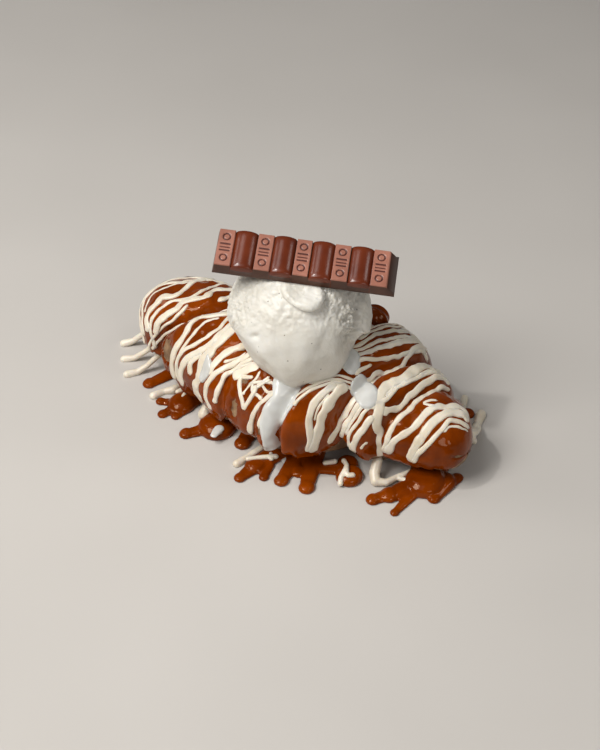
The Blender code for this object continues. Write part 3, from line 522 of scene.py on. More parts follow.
def end_closing(x):
    """Share of the full section that is left near either end of the roll."""
    share = 1.0
    start, end = ROLL_STATIONS[0, 0], ROLL_STATIONS[-1, 0]
    for distance in ((x - start) / LEFT_ROUNDING, (end - x) / RIGHT_ROUNDING):
        near = np.clip(distance, 0.0, 1.0)
        share = share * (1.0 - (1.0 - near) ** END_POWER) ** (1.0 / END_POWER)
    return share


def seam_relief(x, angle):
    """Depth of the seams and steps between the rolled layers."""
    relief = 0.0
    for middle, lean, depth, width, step, side in SEAMS:
        distance = x - (middle + lean * np.cos(angle))
        relief = relief - depth / (1.0 + (distance / width) ** 2)
        relief = relief + side * step * 0.5 * np.tanh(distance / (1.5 * width))
    return relief


def roll_surface(x, degrees, extra=0.0):
    """Points of the roll's surface, raised by extra."""
    x, degrees = np.broadcast_arrays(np.asarray(x, float), np.asarray(degrees, float))
    angle = np.radians(degrees)
    middle, half_width, height, lift = (
        smooth_through(x, ROLL_STATIONS[:, 0], ROLL_STATIONS[:, column])
        for column in (1, 2, 3, 4))
    closing = end_closing(x)
    relief = seam_relief(x, angle) * closing + extra
    upper = np.sin(angle) >= 0.0
    power = 2.0 / np.where(upper, UPPER_POWER, LOWER_POWER)
    across = signed_power(np.cos(angle), power)
    upward = signed_power(np.sin(angle), power)
    above = (1.0 - MIDDLE_LEVEL) * height * closing + relief
    below = MIDDLE_LEVEL * height * closing + FOOT_SINK + relief
    y = middle + (half_width * closing + relief) * across
    z = lift + MIDDLE_LEVEL * height + np.where(upper, above, below) * upward
    fade = 1.0 - smooth_step(0.0, END_LEAN_LENGTH, x - ROLL_STATIONS[0, 0])
    return np.stack((x - END_LEAN * fade * upward, y, z), axis=-1)


def unit_rows(vectors):
    """Vectors made one long."""
    return vectors / np.maximum(np.linalg.norm(vectors, axis=-1, keepdims=True), 1e-12)


def roll_outward(x, degrees):
    """Unit outward directions of the roll's surface."""
    along = roll_surface(x + PROBE_LENGTH, degrees) - roll_surface(x - PROBE_LENGTH, degrees)
    around = roll_surface(x, degrees + PROBE_DEGREES) - roll_surface(x, degrees - PROBE_DEGREES)
    return unit_rows(np.cross(around, along))


def noise_at(points, frequency, offset=0.0):
    """Smooth noise, about -1 to 1, at many points."""
    shift = Vector((offset, 2.0 * offset, -offset))
    flat = np.asarray(points, float).reshape(-1, 3)
    values = [noise.noise(Vector(point) * frequency + shift) for point in flat]
    return np.array(values).reshape(np.asarray(points).shape[:-1])


def place_object(name, data):
    """A new object in the scene from a mesh, a light or a camera."""
    obj = bpy.data.objects.new(name, data)
    bpy.context.scene.collection.objects.link(obj)
    return obj


def place_shape(name, shape):
    """A new object from a bmesh, which this uses up."""
    mesh = bpy.data.meshes.new(name)
    shape.to_mesh(mesh)
    shape.free()
    return place_object(name, mesh)


def mesh_piece(name, points, faces, closed=True):
    """An object from arrays of points and faces; an open sheet keeps its faces' directions."""
    mesh = bpy.data.meshes.new(name)
    mesh.from_pydata(np.asarray(points, float).reshape(-1, 3).tolist(), [], faces)
    mesh.validate()
    shape = bmesh.new()
    shape.from_mesh(mesh)
    loose = [vert for vert in shape.verts if not vert.link_faces]
    bmesh.ops.delete(shape, geom=loose, context="VERTS")
    if closed:
        bmesh.ops.recalc_face_normals(shape, faces=shape.faces)
    shape.to_mesh(mesh)
    shape.free()
    mesh.shade_smooth()
    return place_object(name, mesh)


def loft_faces(rings, sides, start=0):
    """Faces of a closed loft: quads between the rings and a cap at either end."""
    faces = []
    for ring in range(rings - 1):
        low = start + ring * sides
        for side in range(sides):
            after = (side + 1) % sides
            faces.append((low + side, low + after, low + sides + after, low + sides + side))
    faces.append(tuple(range(start, start + sides)))
    last = start + (rings - 1) * sides
    faces.append(tuple(range(last, last + sides)))
    return faces


def evaluated_copy(obj):
    """Replace the object's mesh by what its modifiers make of it."""
    graph = bpy.context.evaluated_depsgraph_get()
    result = bpy.data.meshes.new_from_object(obj.evaluated_get(graph))
    obj.modifiers.clear()
    old = obj.data
    obj.data = result
    bpy.data.meshes.remove(old)
    obj.data.shade_smooth()


def fuse(obj, voxel, smoothing):
    """Melt overlapping shells of one object into a single soft surface."""
    remesh = obj.modifiers.new("fuse", "REMESH")
    remesh.mode = "VOXEL"
    remesh.voxel_size = voxel
    relax = obj.modifiers.new("relax", "SMOOTH")
    relax.factor = 0.5
    relax.iterations = smoothing
    evaluated_copy(obj)


def move_points(obj, change):
    """Move every point of a mesh by a function of all its points at once."""
    mesh = obj.data
    points = np.empty(len(mesh.vertices) * 3)
    mesh.vertices.foreach_get("co", points)
    moved = change(points.reshape(-1, 3))
    mesh.vertices.foreach_set("co", np.ascontiguousarray(moved).ravel())
    mesh.update()


def lay_on_floor(obj):
    """Lift every point that lies below the floor."""
    move_points(obj, lambda points: np.maximum(points, (-np.inf, -np.inf, 0.0)))


def add_hull(shape, part):
    """Add the convex hull of one bmesh's points to another, and free the first."""
    hull = bmesh.ops.convex_hull(part, input=part.verts)
    inner = [item for item in hull["geom_interior"] if isinstance(item, bmesh.types.BMVert)]
    bmesh.ops.delete(part, geom=inner, context="VERTS")
    mesh = bpy.data.meshes.new("hull")
    part.to_mesh(mesh)
    part.free()
    shape.from_mesh(mesh)
    bpy.data.meshes.remove(mesh)


# ======== material helpers ========
def linear(red, green, blue):
    """Scene colour of an 8-bit screen colour."""
    def channel(value):
        value /= 255.0
        return value / 12.92 if value <= 0.04045 else ((value + 0.055) / 1.055) ** 2.4
    return (channel(red), channel(green), channel(blue), 1.0)


def set_inputs(node, values):
    """Give a shader node's inputs their values."""
    for name, value in values.items():
        node.inputs[name].default_value = value


class Surface:
    """A Principled material whose colour, roughness and bump come from noise."""

    def __init__(self, name, roughness=0.5, specular=0.5, tint=(1.0, 1.0, 1.0)):
        self.material = bpy.data.materials.new(name)
        self.material.use_nodes = True
        self.nodes = self.material.node_tree.nodes
        self.links = self.material.node_tree.links
        self.shader = self.nodes["Principled BSDF"]
        set_inputs(self.shader, {
            "Roughness": roughness, "Specular IOR Level": specular, "Specular Tint": (*tint, 1.0)})
        self.place = self.nodes.new("ShaderNodeTexCoord").outputs["Object"]

    def add(self, kind, values, source, name):
        """A new node with input values, and an output linked to one of its inputs."""
        node = self.nodes.new(kind)
        set_inputs(node, values)
        self.links.new(source, node.inputs[name])
        return node

    def noise(self, scale, detail=3.0, roughness=0.5):
        """Output of a noise texture of so many cycles a metre."""
        values = {"Scale": scale, "Detail": detail, "Roughness": roughness}
        return self.add("ShaderNodeTexNoise", values, self.place, "Vector").outputs["Fac"]

    def spots(self, scale):
        """Distance to the nearest of scattered points."""
        node = self.add("ShaderNodeTexVoronoi", {"Scale": scale}, self.place, "Vector")
        return node.outputs["Distance"]

    def ramp(self, value, stops):
        """Colours laid along a value, as (position, screen colour) stops."""
        node = self.add("ShaderNodeValToRGB", {}, value, "Fac")
        elements = node.color_ramp.elements
        while len(elements) < len(stops):
            elements.new(0.5)
        for element, (position, colour) in zip(elements, stops):
            element.position = position
            element.color = linear(*colour)
        return node.outputs["Color"]

    def mix(self, share, first, colour):
        """An output mixed with a screen colour by a share."""
        node = self.nodes.new("ShaderNodeMix")
        node.data_type = "RGBA"
        self.links.new(share, node.inputs["Factor"])
        self.links.new(first, node.inputs["A"])
        node.inputs["B"].default_value = linear(*colour)
        return node.outputs["Result"]

    def colour(self, output):
        self.links.new(output, self.shader.inputs["Base Color"])

    def tones(self, scale, detail, *stops):
        """Base colour that follows a noise, as (position, screen colour) stops."""
        self.colour(self.ramp(self.noise(scale, detail), stops))

    def roughness(self, scale, low, high):
        """Roughness that follows a noise from low to high."""
        values = {"To Min": low, "To Max": high}
        node = self.add("ShaderNodeMapRange", values, self.noise(scale), "Value")
        self.links.new(node.outputs["Result"], self.shader.inputs["Roughness"])

    def bump(self, *layers):
        """Relief from (height, depth in metres) layers."""
        normal = None
        for height, depth in layers:
            node = self.add("ShaderNodeBump", {"Distance": depth}, height, "Height")
            if normal is not None:
                self.links.new(normal, node.inputs["Normal"])
            normal = node.outputs["Normal"]
        self.links.new(normal, self.shader.inputs["Normal"])

    def glow(self, weight, radius, scale):
        """Light that travels below the surface."""
        set_inputs(self.shader, {
            "Subsurface Weight": weight, "Subsurface Radius": radius, "Subsurface Scale": scale})


def chocolate_material():
    surface = Surface("milk chocolate coat", specular=0.28, tint=(1.0, 0.76, 0.55))
    surface.tones(55.0, 4.0, (0.30, (100, 37, 0)), (0.50, (122, 49, 0)), (0.72, (144, 62, 2)))
    surface.roughness(160.0, 0.06, 0.13)
    surface.bump((surface.noise(190.0, 2.0), 0.00030))
    return surface.material


def drizzle_material():
    surface = Surface("white chocolate")
    surface.tones(90.0, 3.0, (0.30, (221, 208, 186)), (0.70, (239, 230, 213)))
    surface.roughness(200.0, 0.26, 0.42)
    surface.bump((surface.noise(420.0, 2.0), 0.00006))
    surface.glow(0.25, (1.0, 0.75, 0.45), 0.0012)
    return surface.material


def melt_material():
    surface = Surface("melted ice cream")
    surface.tones(70.0, 2.0, (0.30, (202, 200, 194)), (0.70, (224, 224, 220)))
    surface.roughness(150.0, 0.12, 0.21)
    surface.bump((surface.noise(240.0, 2.0), 0.00005))
    surface.glow(0.35, (1.0, 0.9, 0.75), 0.0015)
    return surface.material


def pastry_material():
    surface = Surface("baked pastry", 0.62)
    layers = surface.noise(120.0, 6.0, 0.65)
    surface.colour(surface.ramp(layers, (
        (0.28, (60, 42, 28)), (0.48, (116, 86, 58)), (0.70, (172, 138, 102)))))
    surface.bump((layers, 0.0006), (surface.noise(600.0, 3.0), 0.00015))
    return surface.material


def ice_cream_material():
    """Cream with scattered dark specks of vanilla."""
    surface = Surface("vanilla ice cream")
    tone = surface.noise(60.0, 4.0)
    cream = surface.ramp(tone, ((0.30, (214, 209, 197)), (0.70, (229, 226, 218))))
    dark = surface.ramp(surface.spots(210.0), ((0.040, (255, 255, 255)), (0.075, (0, 0, 0))))
    surface.colour(surface.mix(dark, cream, (92, 78, 58)))
    surface.roughness(140.0, 0.32, 0.55)
    surface.bump((surface.noise(330.0, 4.0, 0.6), 0.00022), (surface.noise(1200.0, 2.0), 0.00006))
    surface.glow(0.5, (1.0, 0.92, 0.80), 0.0022)
    return surface.material


def bar_material(name, dark, light, low, high):
    surface = Surface(name)
    surface.tones(80.0, 3.0, (0.30, dark), (0.70, light))
    surface.roughness(260.0, low, high)
    surface.bump((surface.noise(500.0, 2.0), 0.00004))
    return surface.material


def floor_material():
    surface = Surface("pale floor", 0.55, 0.3)
    surface.tones(6.0, 2.0, (0.30, (198, 193, 187)), (0.70, (204, 199, 193)))
    return surface.material


# ======== the coated roll ========
def roll_positions(spacing):
    """Places along the roll, closer together where its ends round off."""
    start, end = ROLL_STATIONS[0, 0], ROLL_STATIONS[-1, 0]
    inner = np.arange(start + LEFT_ROUNDING, end - RIGHT_ROUNDING, spacing)
    ramp = (1.0 - np.cos(np.linspace(0.06, 0.5 * math.pi, END_RINGS))) ** 1.6
    left = start + LEFT_ROUNDING * ramp
    right = end - RIGHT_ROUNDING * ramp[::-1]
    return np.concatenate((left, inner[1:], right))


def roll_grid(spacing, sides):
    """Places along the roll and angles round it."""
    degrees = np.linspace(-90.0, 270.0, sides, endpoint=False)
    return roll_positions(spacing)[:, None], degrees[None, :]


def roll_piece(name, x, degrees, level, lowest):
    """A closed object that follows the roll at a level above its surface."""
    surface = roll_surface(x, degrees, level)
    surface[..., 2] = np.maximum(surface[..., 2], lowest)
    return mesh_piece(name, surface, loft_faces(*surface.shape[:2]))


def rim_level(cover, width, rise, dive):
    """Level of a sheet that rounds off at its rim and dives beyond it."""
    rim = np.clip(cover / width, -1.0, 1.0)
    rounded = np.sqrt(np.clip(1.0 - (1.0 - rim) ** 2, 0.0, 1.0))
    return np.where(rim > 0.0, rise * rounded, dive * rim)


def waves(x, table):
    """Sum of waves along x, from rows of height, radians a metre and shift."""
    return sum(height * np.sin(x * rate + shift) for height, rate, shift in table)


def coat_cover(x, degrees):
    """Length from the coat's rim at each place, positive where the coat lies."""
    front_edge = COAT_FRONT_EDGE + waves(x, FRONT_EDGE_WAVES)
    for middle, width, drop, _ in COAT_LOBES:
        front_edge = front_edge + drop * np.exp(-((x - middle) / width) ** 2)
    back_edge = COAT_BACK_EDGE + waves(x, BACK_EDGE_WAVES)
    cover = np.minimum(front_edge - degrees, degrees - back_edge) * DEGREE_LENGTH
    for middle, angle, length, width in BARE_PATCHES:
        across = (degrees - angle) / width
        along = (x - middle) / length
        ragged = 0.18 * np.sin(7.0 * across + 3.0 * along) + 0.12 * np.sin(11.0 * along)
        distance = (np.sqrt(across**2 + along**2) - 1.0 + ragged) * length
        cover = np.minimum(cover, distance)
    return cover


def coat_crease(x, degrees):
    """Sharp creases in the coat along the seams between the rolled layers."""
    relief = 0.0
    for middle, lean, depth, _, _, side in SEAMS:
        distance = x - (middle + lean * np.cos(np.radians(degrees)))
        share = CREASE_DEPTH * depth / SEAMS[0][2]
        relief = relief - share / (1.0 + (distance / CREASE_WIDTH) ** 2)
        bank = np.tanh(distance / CREASE_WIDTH) * np.exp(-(distance / CREASE_REACH) ** 2)
        relief = relief + side * CREASE_BANK * share * bank
    return relief


def coat_bead(x, degrees):
    """Thickening of the coat where it gathered at its lower front edge."""
    bead = 0.0
    for middle, width, drop, height in COAT_LOBES:
        ahead = (degrees - (COAT_FRONT_EDGE + drop - BEAD_ABOVE)) / BEAD_SPREAD
        bead = bead + height * np.exp(-((x - middle) / width) ** 2 - ahead**2)
    return bead


def coat_swell(points, x):
    """Soft unevenness of the coat at points of the roll."""
    broad, small = SWELL_RATES
    swell = noise_at(points, broad) + 0.5 * noise_at(points, small, 5.0)
    return SWELL * swell * end_closing(x)


def coated_surface(x, degrees):
    """Points of the roll's surface with the swells and creases of its coat."""
    level = coat_swell(roll_surface(x, degrees), x) + coat_crease(x, degrees) * end_closing(x)
    return roll_surface(x, degrees, level)


def make_pastry():
    """The baked roll below its coat, with thin ridges where the layers end."""
    x, degrees = roll_grid(*PASTRY_GRID)
    surface = roll_surface(x, degrees, -COAT_THICKNESS)
    ridges = noise_at(surface * np.array((1.0, 2.2, 2.2)), 300.0)
    relief = (RIDGE_HEIGHT * ridges + coat_crease(x, degrees)) * end_closing(x)
    return roll_piece("pastry", x, degrees, relief - COAT_THICKNESS, 0.0)


def make_coat():
    """The chocolate over the roll: a sheet that dives into the pastry where that is bare."""
    x, degrees = roll_grid(*COAT_GRID)
    cover = coat_cover(x, degrees)
    relief = coat_swell(roll_surface(x, degrees), x) + coat_bead(x, degrees)
    level = rim_level(cover, COAT_EDGE_WIDTH, COAT_THICKNESS, BARE_DEPTH) - COAT_THICKNESS
    level = level + relief * (cover > 0.0) + coat_crease(x, degrees) * end_closing(x)
    return roll_piece("chocolate_coat", x, degrees, level, SHEET_BOTTOM)


def make_lump():
    """The coated lump that stands out behind the scoop, with a swirl pressed into it."""
    shape = bmesh.new()
    bmesh.ops.create_icosphere(shape, subdivisions=5, radius=1.0)
    for vert in shape.verts:
        outward = vert.co.normalized()
        turn = math.atan2(outward.z, outward.x)
        from_pole = math.acos(max(-1.0, min(1.0, -outward.y)))
        swirl = LUMP_SWIRL * math.sin(turn + LUMP_TIGHTNESS * from_pole)
        vert.co = LUMP_CENTRE + outward * (LUMP_RADIUS + swirl)
    obj = place_shape("coated_lump", shape)
    obj.data.shade_smooth()
    return obj


# ======== strands and melted ice cream on the roll ========
def strand_noise(travelled, rate, seed, row):
    """Noise along a strand, another one for each seed and row."""
    return np.array([noise.noise(Vector((place * rate, seed, row))) for place in travelled])


def strand_rings(controls, width, seed, layer=0.0):
    """Sections of a domed strand along a route of (x, angle) controls."""
    controls = np.asarray(controls, float)
    marks = np.arange(len(controls), dtype=float)
    rough = roll_surface(controls[:, 0], controls[:, 1])
    length = np.linalg.norm(np.diff(rough, axis=0), axis=1).sum()
    count = max(8, int(length / STRAND_STEP))
    mark = np.linspace(0.0, marks[-1], count)
    travelled = np.linspace(0.0, length, count)
    left_over = length - travelled
    x = smooth_through(mark, marks, controls[:, 0])
    x = x + STRAND_WANDER * strand_noise(travelled, STRAND_WANDER_RATE, 3.1 * seed, 0.0)
    degrees = smooth_through(mark, marks, controls[:, 1])
    centre = coated_surface(x, degrees)
    outward = roll_outward(x, degrees)
    sideways = unit_rows(np.cross(np.gradient(centre, axis=0), outward))
    pulse = strand_noise(travelled, STRAND_PULSE_RATE, 1.7 * seed, 4.0)
    width = width * (1.0 + STRAND_PULSE * pulse)
    # the last drop is wider, and both ends are round
    from_drop = (left_over - STRAND_ROUNDING * width) / (STRAND_HEAD_SPREAD * width)
    width = width * (1.0 + STRAND_HEAD * np.exp(-from_drop**2))
    for from_end in (travelled, left_over):
        near = np.clip(from_end / (STRAND_ROUNDING * width), 0.02, 1.0)
        width = width * np.sqrt(1.0 - (1.0 - near) ** 2)
    rise = np.minimum(DRIZZLE_RISE * width, DRIZZLE_MOST) + layer
    across = STRAND_PROFILE[None, :, None] * 0.5 * width[:, None, None]
    top = centre[:, None, :] + sideways[:, None, :] * across
    top = top + outward[:, None, :] * (rise[:, None, None] * STRAND_DOME - STRAND_BED)
    foot = centre[:, None, :] + sideways[:, None, :] * across[:, [-1, 0]] * STRAND_FOOT
    foot = foot - outward[:, None, :] * STRAND_SINK
    return np.concatenate((top, foot), axis=1)


def make_drizzle():
    """All the white strands that lie on the roll."""
    strands = []
    for seed, (width, route) in enumerate(DRIZZLE):
        layer = STRAND_LAYER * (seed % 3)
        strands.append(strand_rings(route, DRIZZLE_SPREAD * width, seed, layer))
    for index, x in enumerate(np.arange(*BACK_STRANDS)):
        shifting, reaching, widening = (math.sin(index * rate) for rate in BACK_RATES)
        shift = BACK_SHIFT * shifting
        route = np.array([(x + place + share * shift, angle) for place, share, angle in BACK_ROUTE])
        route[0, 1] -= BACK_REACH_CHANGE * reaching
        width = BACK_WIDTH + BACK_WIDTH_CHANGE * widening
        strands.append(strand_rings(route, width, BACK_FIRST_SEED + index))
    points, faces = [], []
    for rings in strands:
        faces += loft_faces(rings.shape[0], rings.shape[1], len(points))
        points.extend(rings.reshape(-1, 3))
    return mesh_piece("white_drizzle", points, faces)


def melt_cover(x, degrees):
    """Length from the rim of the melted ice cream, positive where it lies."""
    cover = np.full(np.broadcast(x, degrees).shape, -1.0)
    for run in MELT_RUNS:
        controls = np.array(run)
        marks = np.arange(len(controls), dtype=float)
        for mark in np.linspace(0.0, marks[-1], MELT_STEPS * len(controls)):
            place, angle, width = (
                smooth_through(mark, marks, controls[:, column]) for column in range(3))
            distance = np.hypot(x - place, (degrees - angle) * DEGREE_LENGTH)
            cover = np.maximum(cover, 0.5 * width - distance)
    return cover


def make_melt():
    """Ice cream that has melted and run down the roll: a sheet that dives below the coat."""
    first, last, upper, lower = MELT_REACH
    spacing, columns = MELT_GRID
    x = np.arange(first, last, spacing)[:, None]
    degrees = np.linspace(upper, lower, columns)[None, :]
    base = roll_surface(x, degrees)
    cover = melt_cover(x, degrees) + MELT_RAGGED * noise_at(base, 170.0, 9.0)
    level = rim_level(cover, MELT_RIM, MELT_RISE, MELT_DIVE)
    level = level + coat_swell(base, x) + MELT_CREASE * coat_crease(x, degrees)
    level = level + MELT_UNEVEN * noise_at(base, 110.0, 2.0)
    surface = roll_surface(x, degrees, level)
    surface[..., 2] = np.maximum(surface[..., 2], SHEET_BOTTOM)
    faces = []
    for row in range(len(surface) - 1):
        for column in range(columns - 1):
            if cover[row:row + 2, column:column + 2].max() > -MELT_RIM:
                low = row * columns + column
                faces.append((low, low + 1, low + columns + 1, low + columns))
    obj = mesh_piece("melted_ice_cream", surface, faces, closed=False)
    backing = obj.modifiers.new("backing", "SOLIDIFY")
    backing.thickness = MELT_BACKING
    backing.offset = -1.0
    evaluated_copy(obj)
    return obj


# ======== sauce on the floor ========
def dome_points(x, y, radius, height, base):
    """Points of a low dome that stands on the given level."""
    points = []
    for share, level in DOME_RINGS:
        for side in range(DOME_SIDES):
            turn = 2.0 * math.pi * side / DOME_SIDES
            points.append((
                x + radius * share * math.cos(turn), y + radius * share * math.sin(turn),
                base + level * height))
    points.append((x, y, base + height))
    return points


def make_fingers(name, fingers, voxel, smoothing):
    """An object of rounded fingers, each the hull of two domes, melted together."""
    shape = bmesh.new()
    for (x, y, radius, tip_x, tip_y, tip_radius), base, height in fingers:
        part = bmesh.new()
        for point in dome_points(x, y, radius, radius * height, base):
            part.verts.new(point)
        for point in dome_points(tip_x, tip_y, tip_radius, tip_radius * height, base):
            part.verts.new(point)
        add_hull(shape, part)
    obj = place_shape(name, shape)
    fuse(obj, voxel, smoothing)
    lay_on_floor(obj)
    return obj


def make_sauce():
    """Fingers of sauce round the foot, each with a fuller bead at its tip."""
    fingers = [(finger, 0.0, PUDDLE_HEIGHT) for finger in FINGERS]
    for _, _, _, x, y, radius in FINGERS:
        bead = radius * FINGER_FULLNESS
        fingers.append(((x, y, bead, x, y + BEAD_LENGTH * bead, bead), 0.0, BEAD_HEIGHT))
    return make_fingers("chocolate_sauce", fingers, SAUCE_VOXEL, smoothing=5)


def make_pools():
    """The puddles of melted ice cream on the floor, and a pale drop on the sauce that is a painted
    highlight.
    """
    pools = [(finger, 0.0, POOL_HEIGHT) for finger in MELT_POOLS]
    pools.append((HIGHLIGHT_DROP, HIGHLIGHT_DROP_LEVEL, DROP_HEIGHT))
    return make_fingers("melted_pool_and_highlight_drop", pools, THIN_VOXEL, smoothing=4)


def make_trails():
    """White strands that reach from the roll to the floor, and those on the sauce."""
    shape = bmesh.new()
    for trail in TRAILS:
        for ends in zip(trail, trail[1:]):
            link = bmesh.new()
            for x, y, z, radius in ends:
                ball = bmesh.ops.create_icosphere(link, subdivisions=2, radius=radius)
                centre = Vector((x, y, z + TRAIL_REST * radius))
                bmesh.ops.translate(link, verts=ball["verts"], vec=centre)
            add_hull(shape, link)
    obj = place_shape("white_strays", shape)
    fuse(obj, THIN_VOXEL, smoothing=3)
    lay_on_floor(obj)
    return obj


# ======== ice cream ========
def scoop_point(outward, lift=0.0):
    """Point of the slightly stretched ball in a direction from its centre."""
    stretch = SCOOP_AXIS * SCOOP_STRETCH * outward.dot(SCOOP_AXIS)
    return SCOOP_CENTRE + outward * (SCOOP_RADIUS + lift) + stretch


def on_scoop(side, up, lift=0.0):
    """Point on the scoop at the given share of its radius sideways and up."""
    front = math.sqrt(max(0.0, 1.0 - side * side - up * up))
    outward = SCOOP_SIDE * side + SCOOP_UP * up + SCOOP_FRONT * front
    return scoop_point(outward, lift), outward


def add_petal(shape):
    """Add the folded lip of ice cream: a flattened ball with a hollowed face."""
    length, width, thickness = PETAL_SIZE
    centre, outward = on_scoop(*PETAL_PLACE)
    across = (SCOOP_SIDE - outward * SCOOP_SIDE.dot(outward)).normalized()
    upward = outward.cross(across)
    turn = Matrix.Rotation(PETAL_TILT, 3, across)
    made = bmesh.ops.create_icosphere(shape, subdivisions=4, radius=1.0)
    for vert in made["verts"]:
        tapered = vert.co.x * (1.0 + PETAL_TAPER * vert.co.y) - PETAL_TAPER * vert.co.y
        flat = Vector((tapered * length, vert.co.y * width, vert.co.z * thickness))
        if vert.co.z > 0.0:
            reach = vert.co.x**2 + vert.co.y**2
            flat.z -= PETAL_HOLLOW * thickness * max(0.0, 1.0 - reach / PETAL_HOLLOW_REACH)
        local = across * flat.x + upward * flat.y + outward * flat.z
        vert.co = centre + turn @ local


def scoop_relief(points):
    """Move the scoop's points: pits, crumbs, folds and the flange on its right side."""
    away = points - np.array(SCOOP_CENTRE)
    outward = away / np.linalg.norm(away, axis=1, keepdims=True)
    side, up, front = (outward @ np.array(axis) for axis in (SCOOP_SIDE, SCOOP_UP, SCOOP_FRONT))
    fine = noise_at(outward, *SCOOP_FINE)
    grain = noise_at(outward, *SCOOP_GRAIN)
    relief = sum(height * noise_at(outward, *rate) for height, *rate in SCOOP_BROAD)
    mottled = smooth_step(-0.45, 0.05, up) * smooth_step(-0.1, 0.3, front)
    relief += mottled * (MOTTLED_FINE * fine + MOTTLED_GRAIN * grain)
    for at_side, at_up, wide, tall, level, fine_height, grain_height in SCOOP_PATCHES:
        near = np.exp(-((side - at_side) / wide) ** 2 - ((up - at_up) / tall) ** 2)
        patch = near * (front > -0.3)
        relief += patch * (level + fine_height * fine + grain_height * grain)
    across = np.arctan2(side, front)
    for turn, width, height, start, full, fading, gone in SCOOP_RIDGES:
        ridge = np.exp(-((across - turn) / width) ** 2) * smooth_step(start, full, up)
        relief += height * ridge * (1.0 - smooth_step(fading, gone, up))
    lower_right = smooth_step(0.50, 0.85, side) * (1.0 - smooth_step(-0.34, -0.22, up))
    relief -= SCOOP_UNDERCUT * lower_right * smooth_step(-0.92, -0.60, up)
    relief -= SCOOP_FLAT_DEPTH * smooth_step(0.70, 0.98, outward @ np.array(SCOOP_FLAT_SIDE))
    return points + outward * relief[:, None]


def press_under_bar(points):
    """Push the top of the scoop below the bar that lies on it."""
    place = np.array(bar_frame())
    local = (points - np.array(BAR_CENTRE)) @ place
    beside = np.abs(local[:, 1]) - (0.5 * BAR_WIDTH + BAR_SIDE_DRAFT)
    limit = PRESS_SLOPE * np.clip(beside, 0.0, PRESS_MARGIN) - BAR_PANEL_HEIGHT - PRESS_GAP
    pressed = np.minimum(local[:, 2], limit)
    local[:, 2] = np.where(beside < PRESS_MARGIN, pressed, local[:, 2])
    return local @ place.T + np.array(BAR_CENTRE)


def make_scoop():
    """The ball of ice cream with its fold, crumbs, pits and ragged side."""
    shape = bmesh.new()
    ball = bmesh.ops.create_icosphere(shape, subdivisions=5, radius=1.0)
    for vert in ball["verts"]:
        vert.co = scoop_point(vert.co.normalized())
    add_petal(shape)
    tab, _ = on_scoop(*TAB_PLACE)
    lobe = bmesh.ops.create_icosphere(shape, subdivisions=4, radius=TAB_RADIUS)
    bmesh.ops.translate(shape, verts=lobe["verts"], vec=tab)
    obj = place_shape("ice_cream", shape)
    fuse(obj, SCOOP_VOXEL, smoothing=2)
    move_points(obj, scoop_relief)
    move_points(obj, press_under_bar)
    return obj


# ======== chocolate bar ========
def bar_frame():
    """Rotation of the bar: turned, leaning forward and dipping to its right end."""
    turn = Matrix.Rotation(BAR_TURN, 3, "Z")
    lean = Matrix.Rotation(BAR_LEAN, 3, "X")
    roll = Matrix.Rotation(BAR_ROLL, 3, "Y")
    return turn @ lean @ roll


def hump_share(along):
    """Where a place along the bar lies within its hump, -1 to 1, or 2 on a panel."""
    for index in range(BAR_HUMPS):
        start = PANEL_LENGTH + index * (PANEL_LENGTH + HUMP_LENGTH)
        share = (along + 0.5 * BAR_LENGTH - start) / (0.5 * HUMP_LENGTH) - 1.0
        if abs(share) < 1.0:
            return share
    return 2.0


def mark_depth(along, across):
    """Depth of the pressed marks on a panel: two rings and three straight grooves."""
    place = (along + 0.5 * BAR_LENGTH - 0.5 * PANEL_LENGTH) / (PANEL_LENGTH + HUMP_LENGTH)
    local = (place - round(place)) * (PANEL_LENGTH + HUMP_LENGTH)
    ring = abs(math.hypot(local, abs(across) - MARK_RING_PLACE) - MARK_RING_RADIUS)
    nearest = max(-1, min(1, round(across / MARK_LINE_PITCH))) * MARK_LINE_PITCH
    line = abs(across - nearest) if abs(local) < MARK_LINE_HALF else ring
    return MARK_DEPTH * math.exp(-(min(ring, line) / MARK_WIDTH) ** 4)


def bar_section(along, height, spread, is_hump):
    """Ring of points across the bar: bottom, drafted side, top with its relief, side."""
    base_half = 0.5 * BAR_WIDTH + BAR_SIDE_DRAFT
    edge_half = base_half - BAR_EDGE_INSET
    top_half = 0.5 * BAR_WIDTH + spread
    top = []
    for across in np.linspace(-top_half, top_half, BAR_TOP_POINTS):
        if is_hump:
            share = abs(across) / top_half
            arch = (1.0 - share**HUMP_END_POWER) ** (1.0 / HUMP_END_POWER)
            z = max(BAR_HUMP_LEVEL + (height - BAR_HUMP_LEVEL) * arch, BAR_HUMP_LOWEST)
        else:
            near = min(1.0, (top_half - abs(across)) / BAR_CORNER)
            z = height - BAR_CORNER * (1.0 - math.sqrt(1.0 - (1.0 - near) ** 2))
            z -= mark_depth(along, across)
        top.append((across, z))
    low = [(-base_half, 0.0), (-edge_half, BAR_EDGE)]
    return low + top + [(edge_half, BAR_EDGE), (base_half, 0.0)]


def bar_stations():
    """Places along the bar with the height of the top there."""
    half = 0.5 * BAR_LENGTH
    stations = [(-half - BAR_LEFT_DRAFT, BAR_EDGE),
                (-half - SHOULDER_SHARE * BAR_LEFT_DRAFT, BAR_SHOULDER)]
    for along in np.arange(-half + 0.5 * BAR_STEP, half, BAR_STEP):
        share = hump_share(along)
        height = BAR_PANEL_HEIGHT
        if abs(share) <= 1.0:
            arch = math.sqrt(1.0 - share * share)
            height = BAR_VALLEY_HEIGHT + (BAR_HUMP_TOP - BAR_VALLEY_HEIGHT) * arch
        stations.append((along, height))
    return stations + [(half + SHOULDER_SHARE * BAR_RIGHT_DRAFT, BAR_SHOULDER),
                       (half + BAR_RIGHT_DRAFT, BAR_EDGE)]


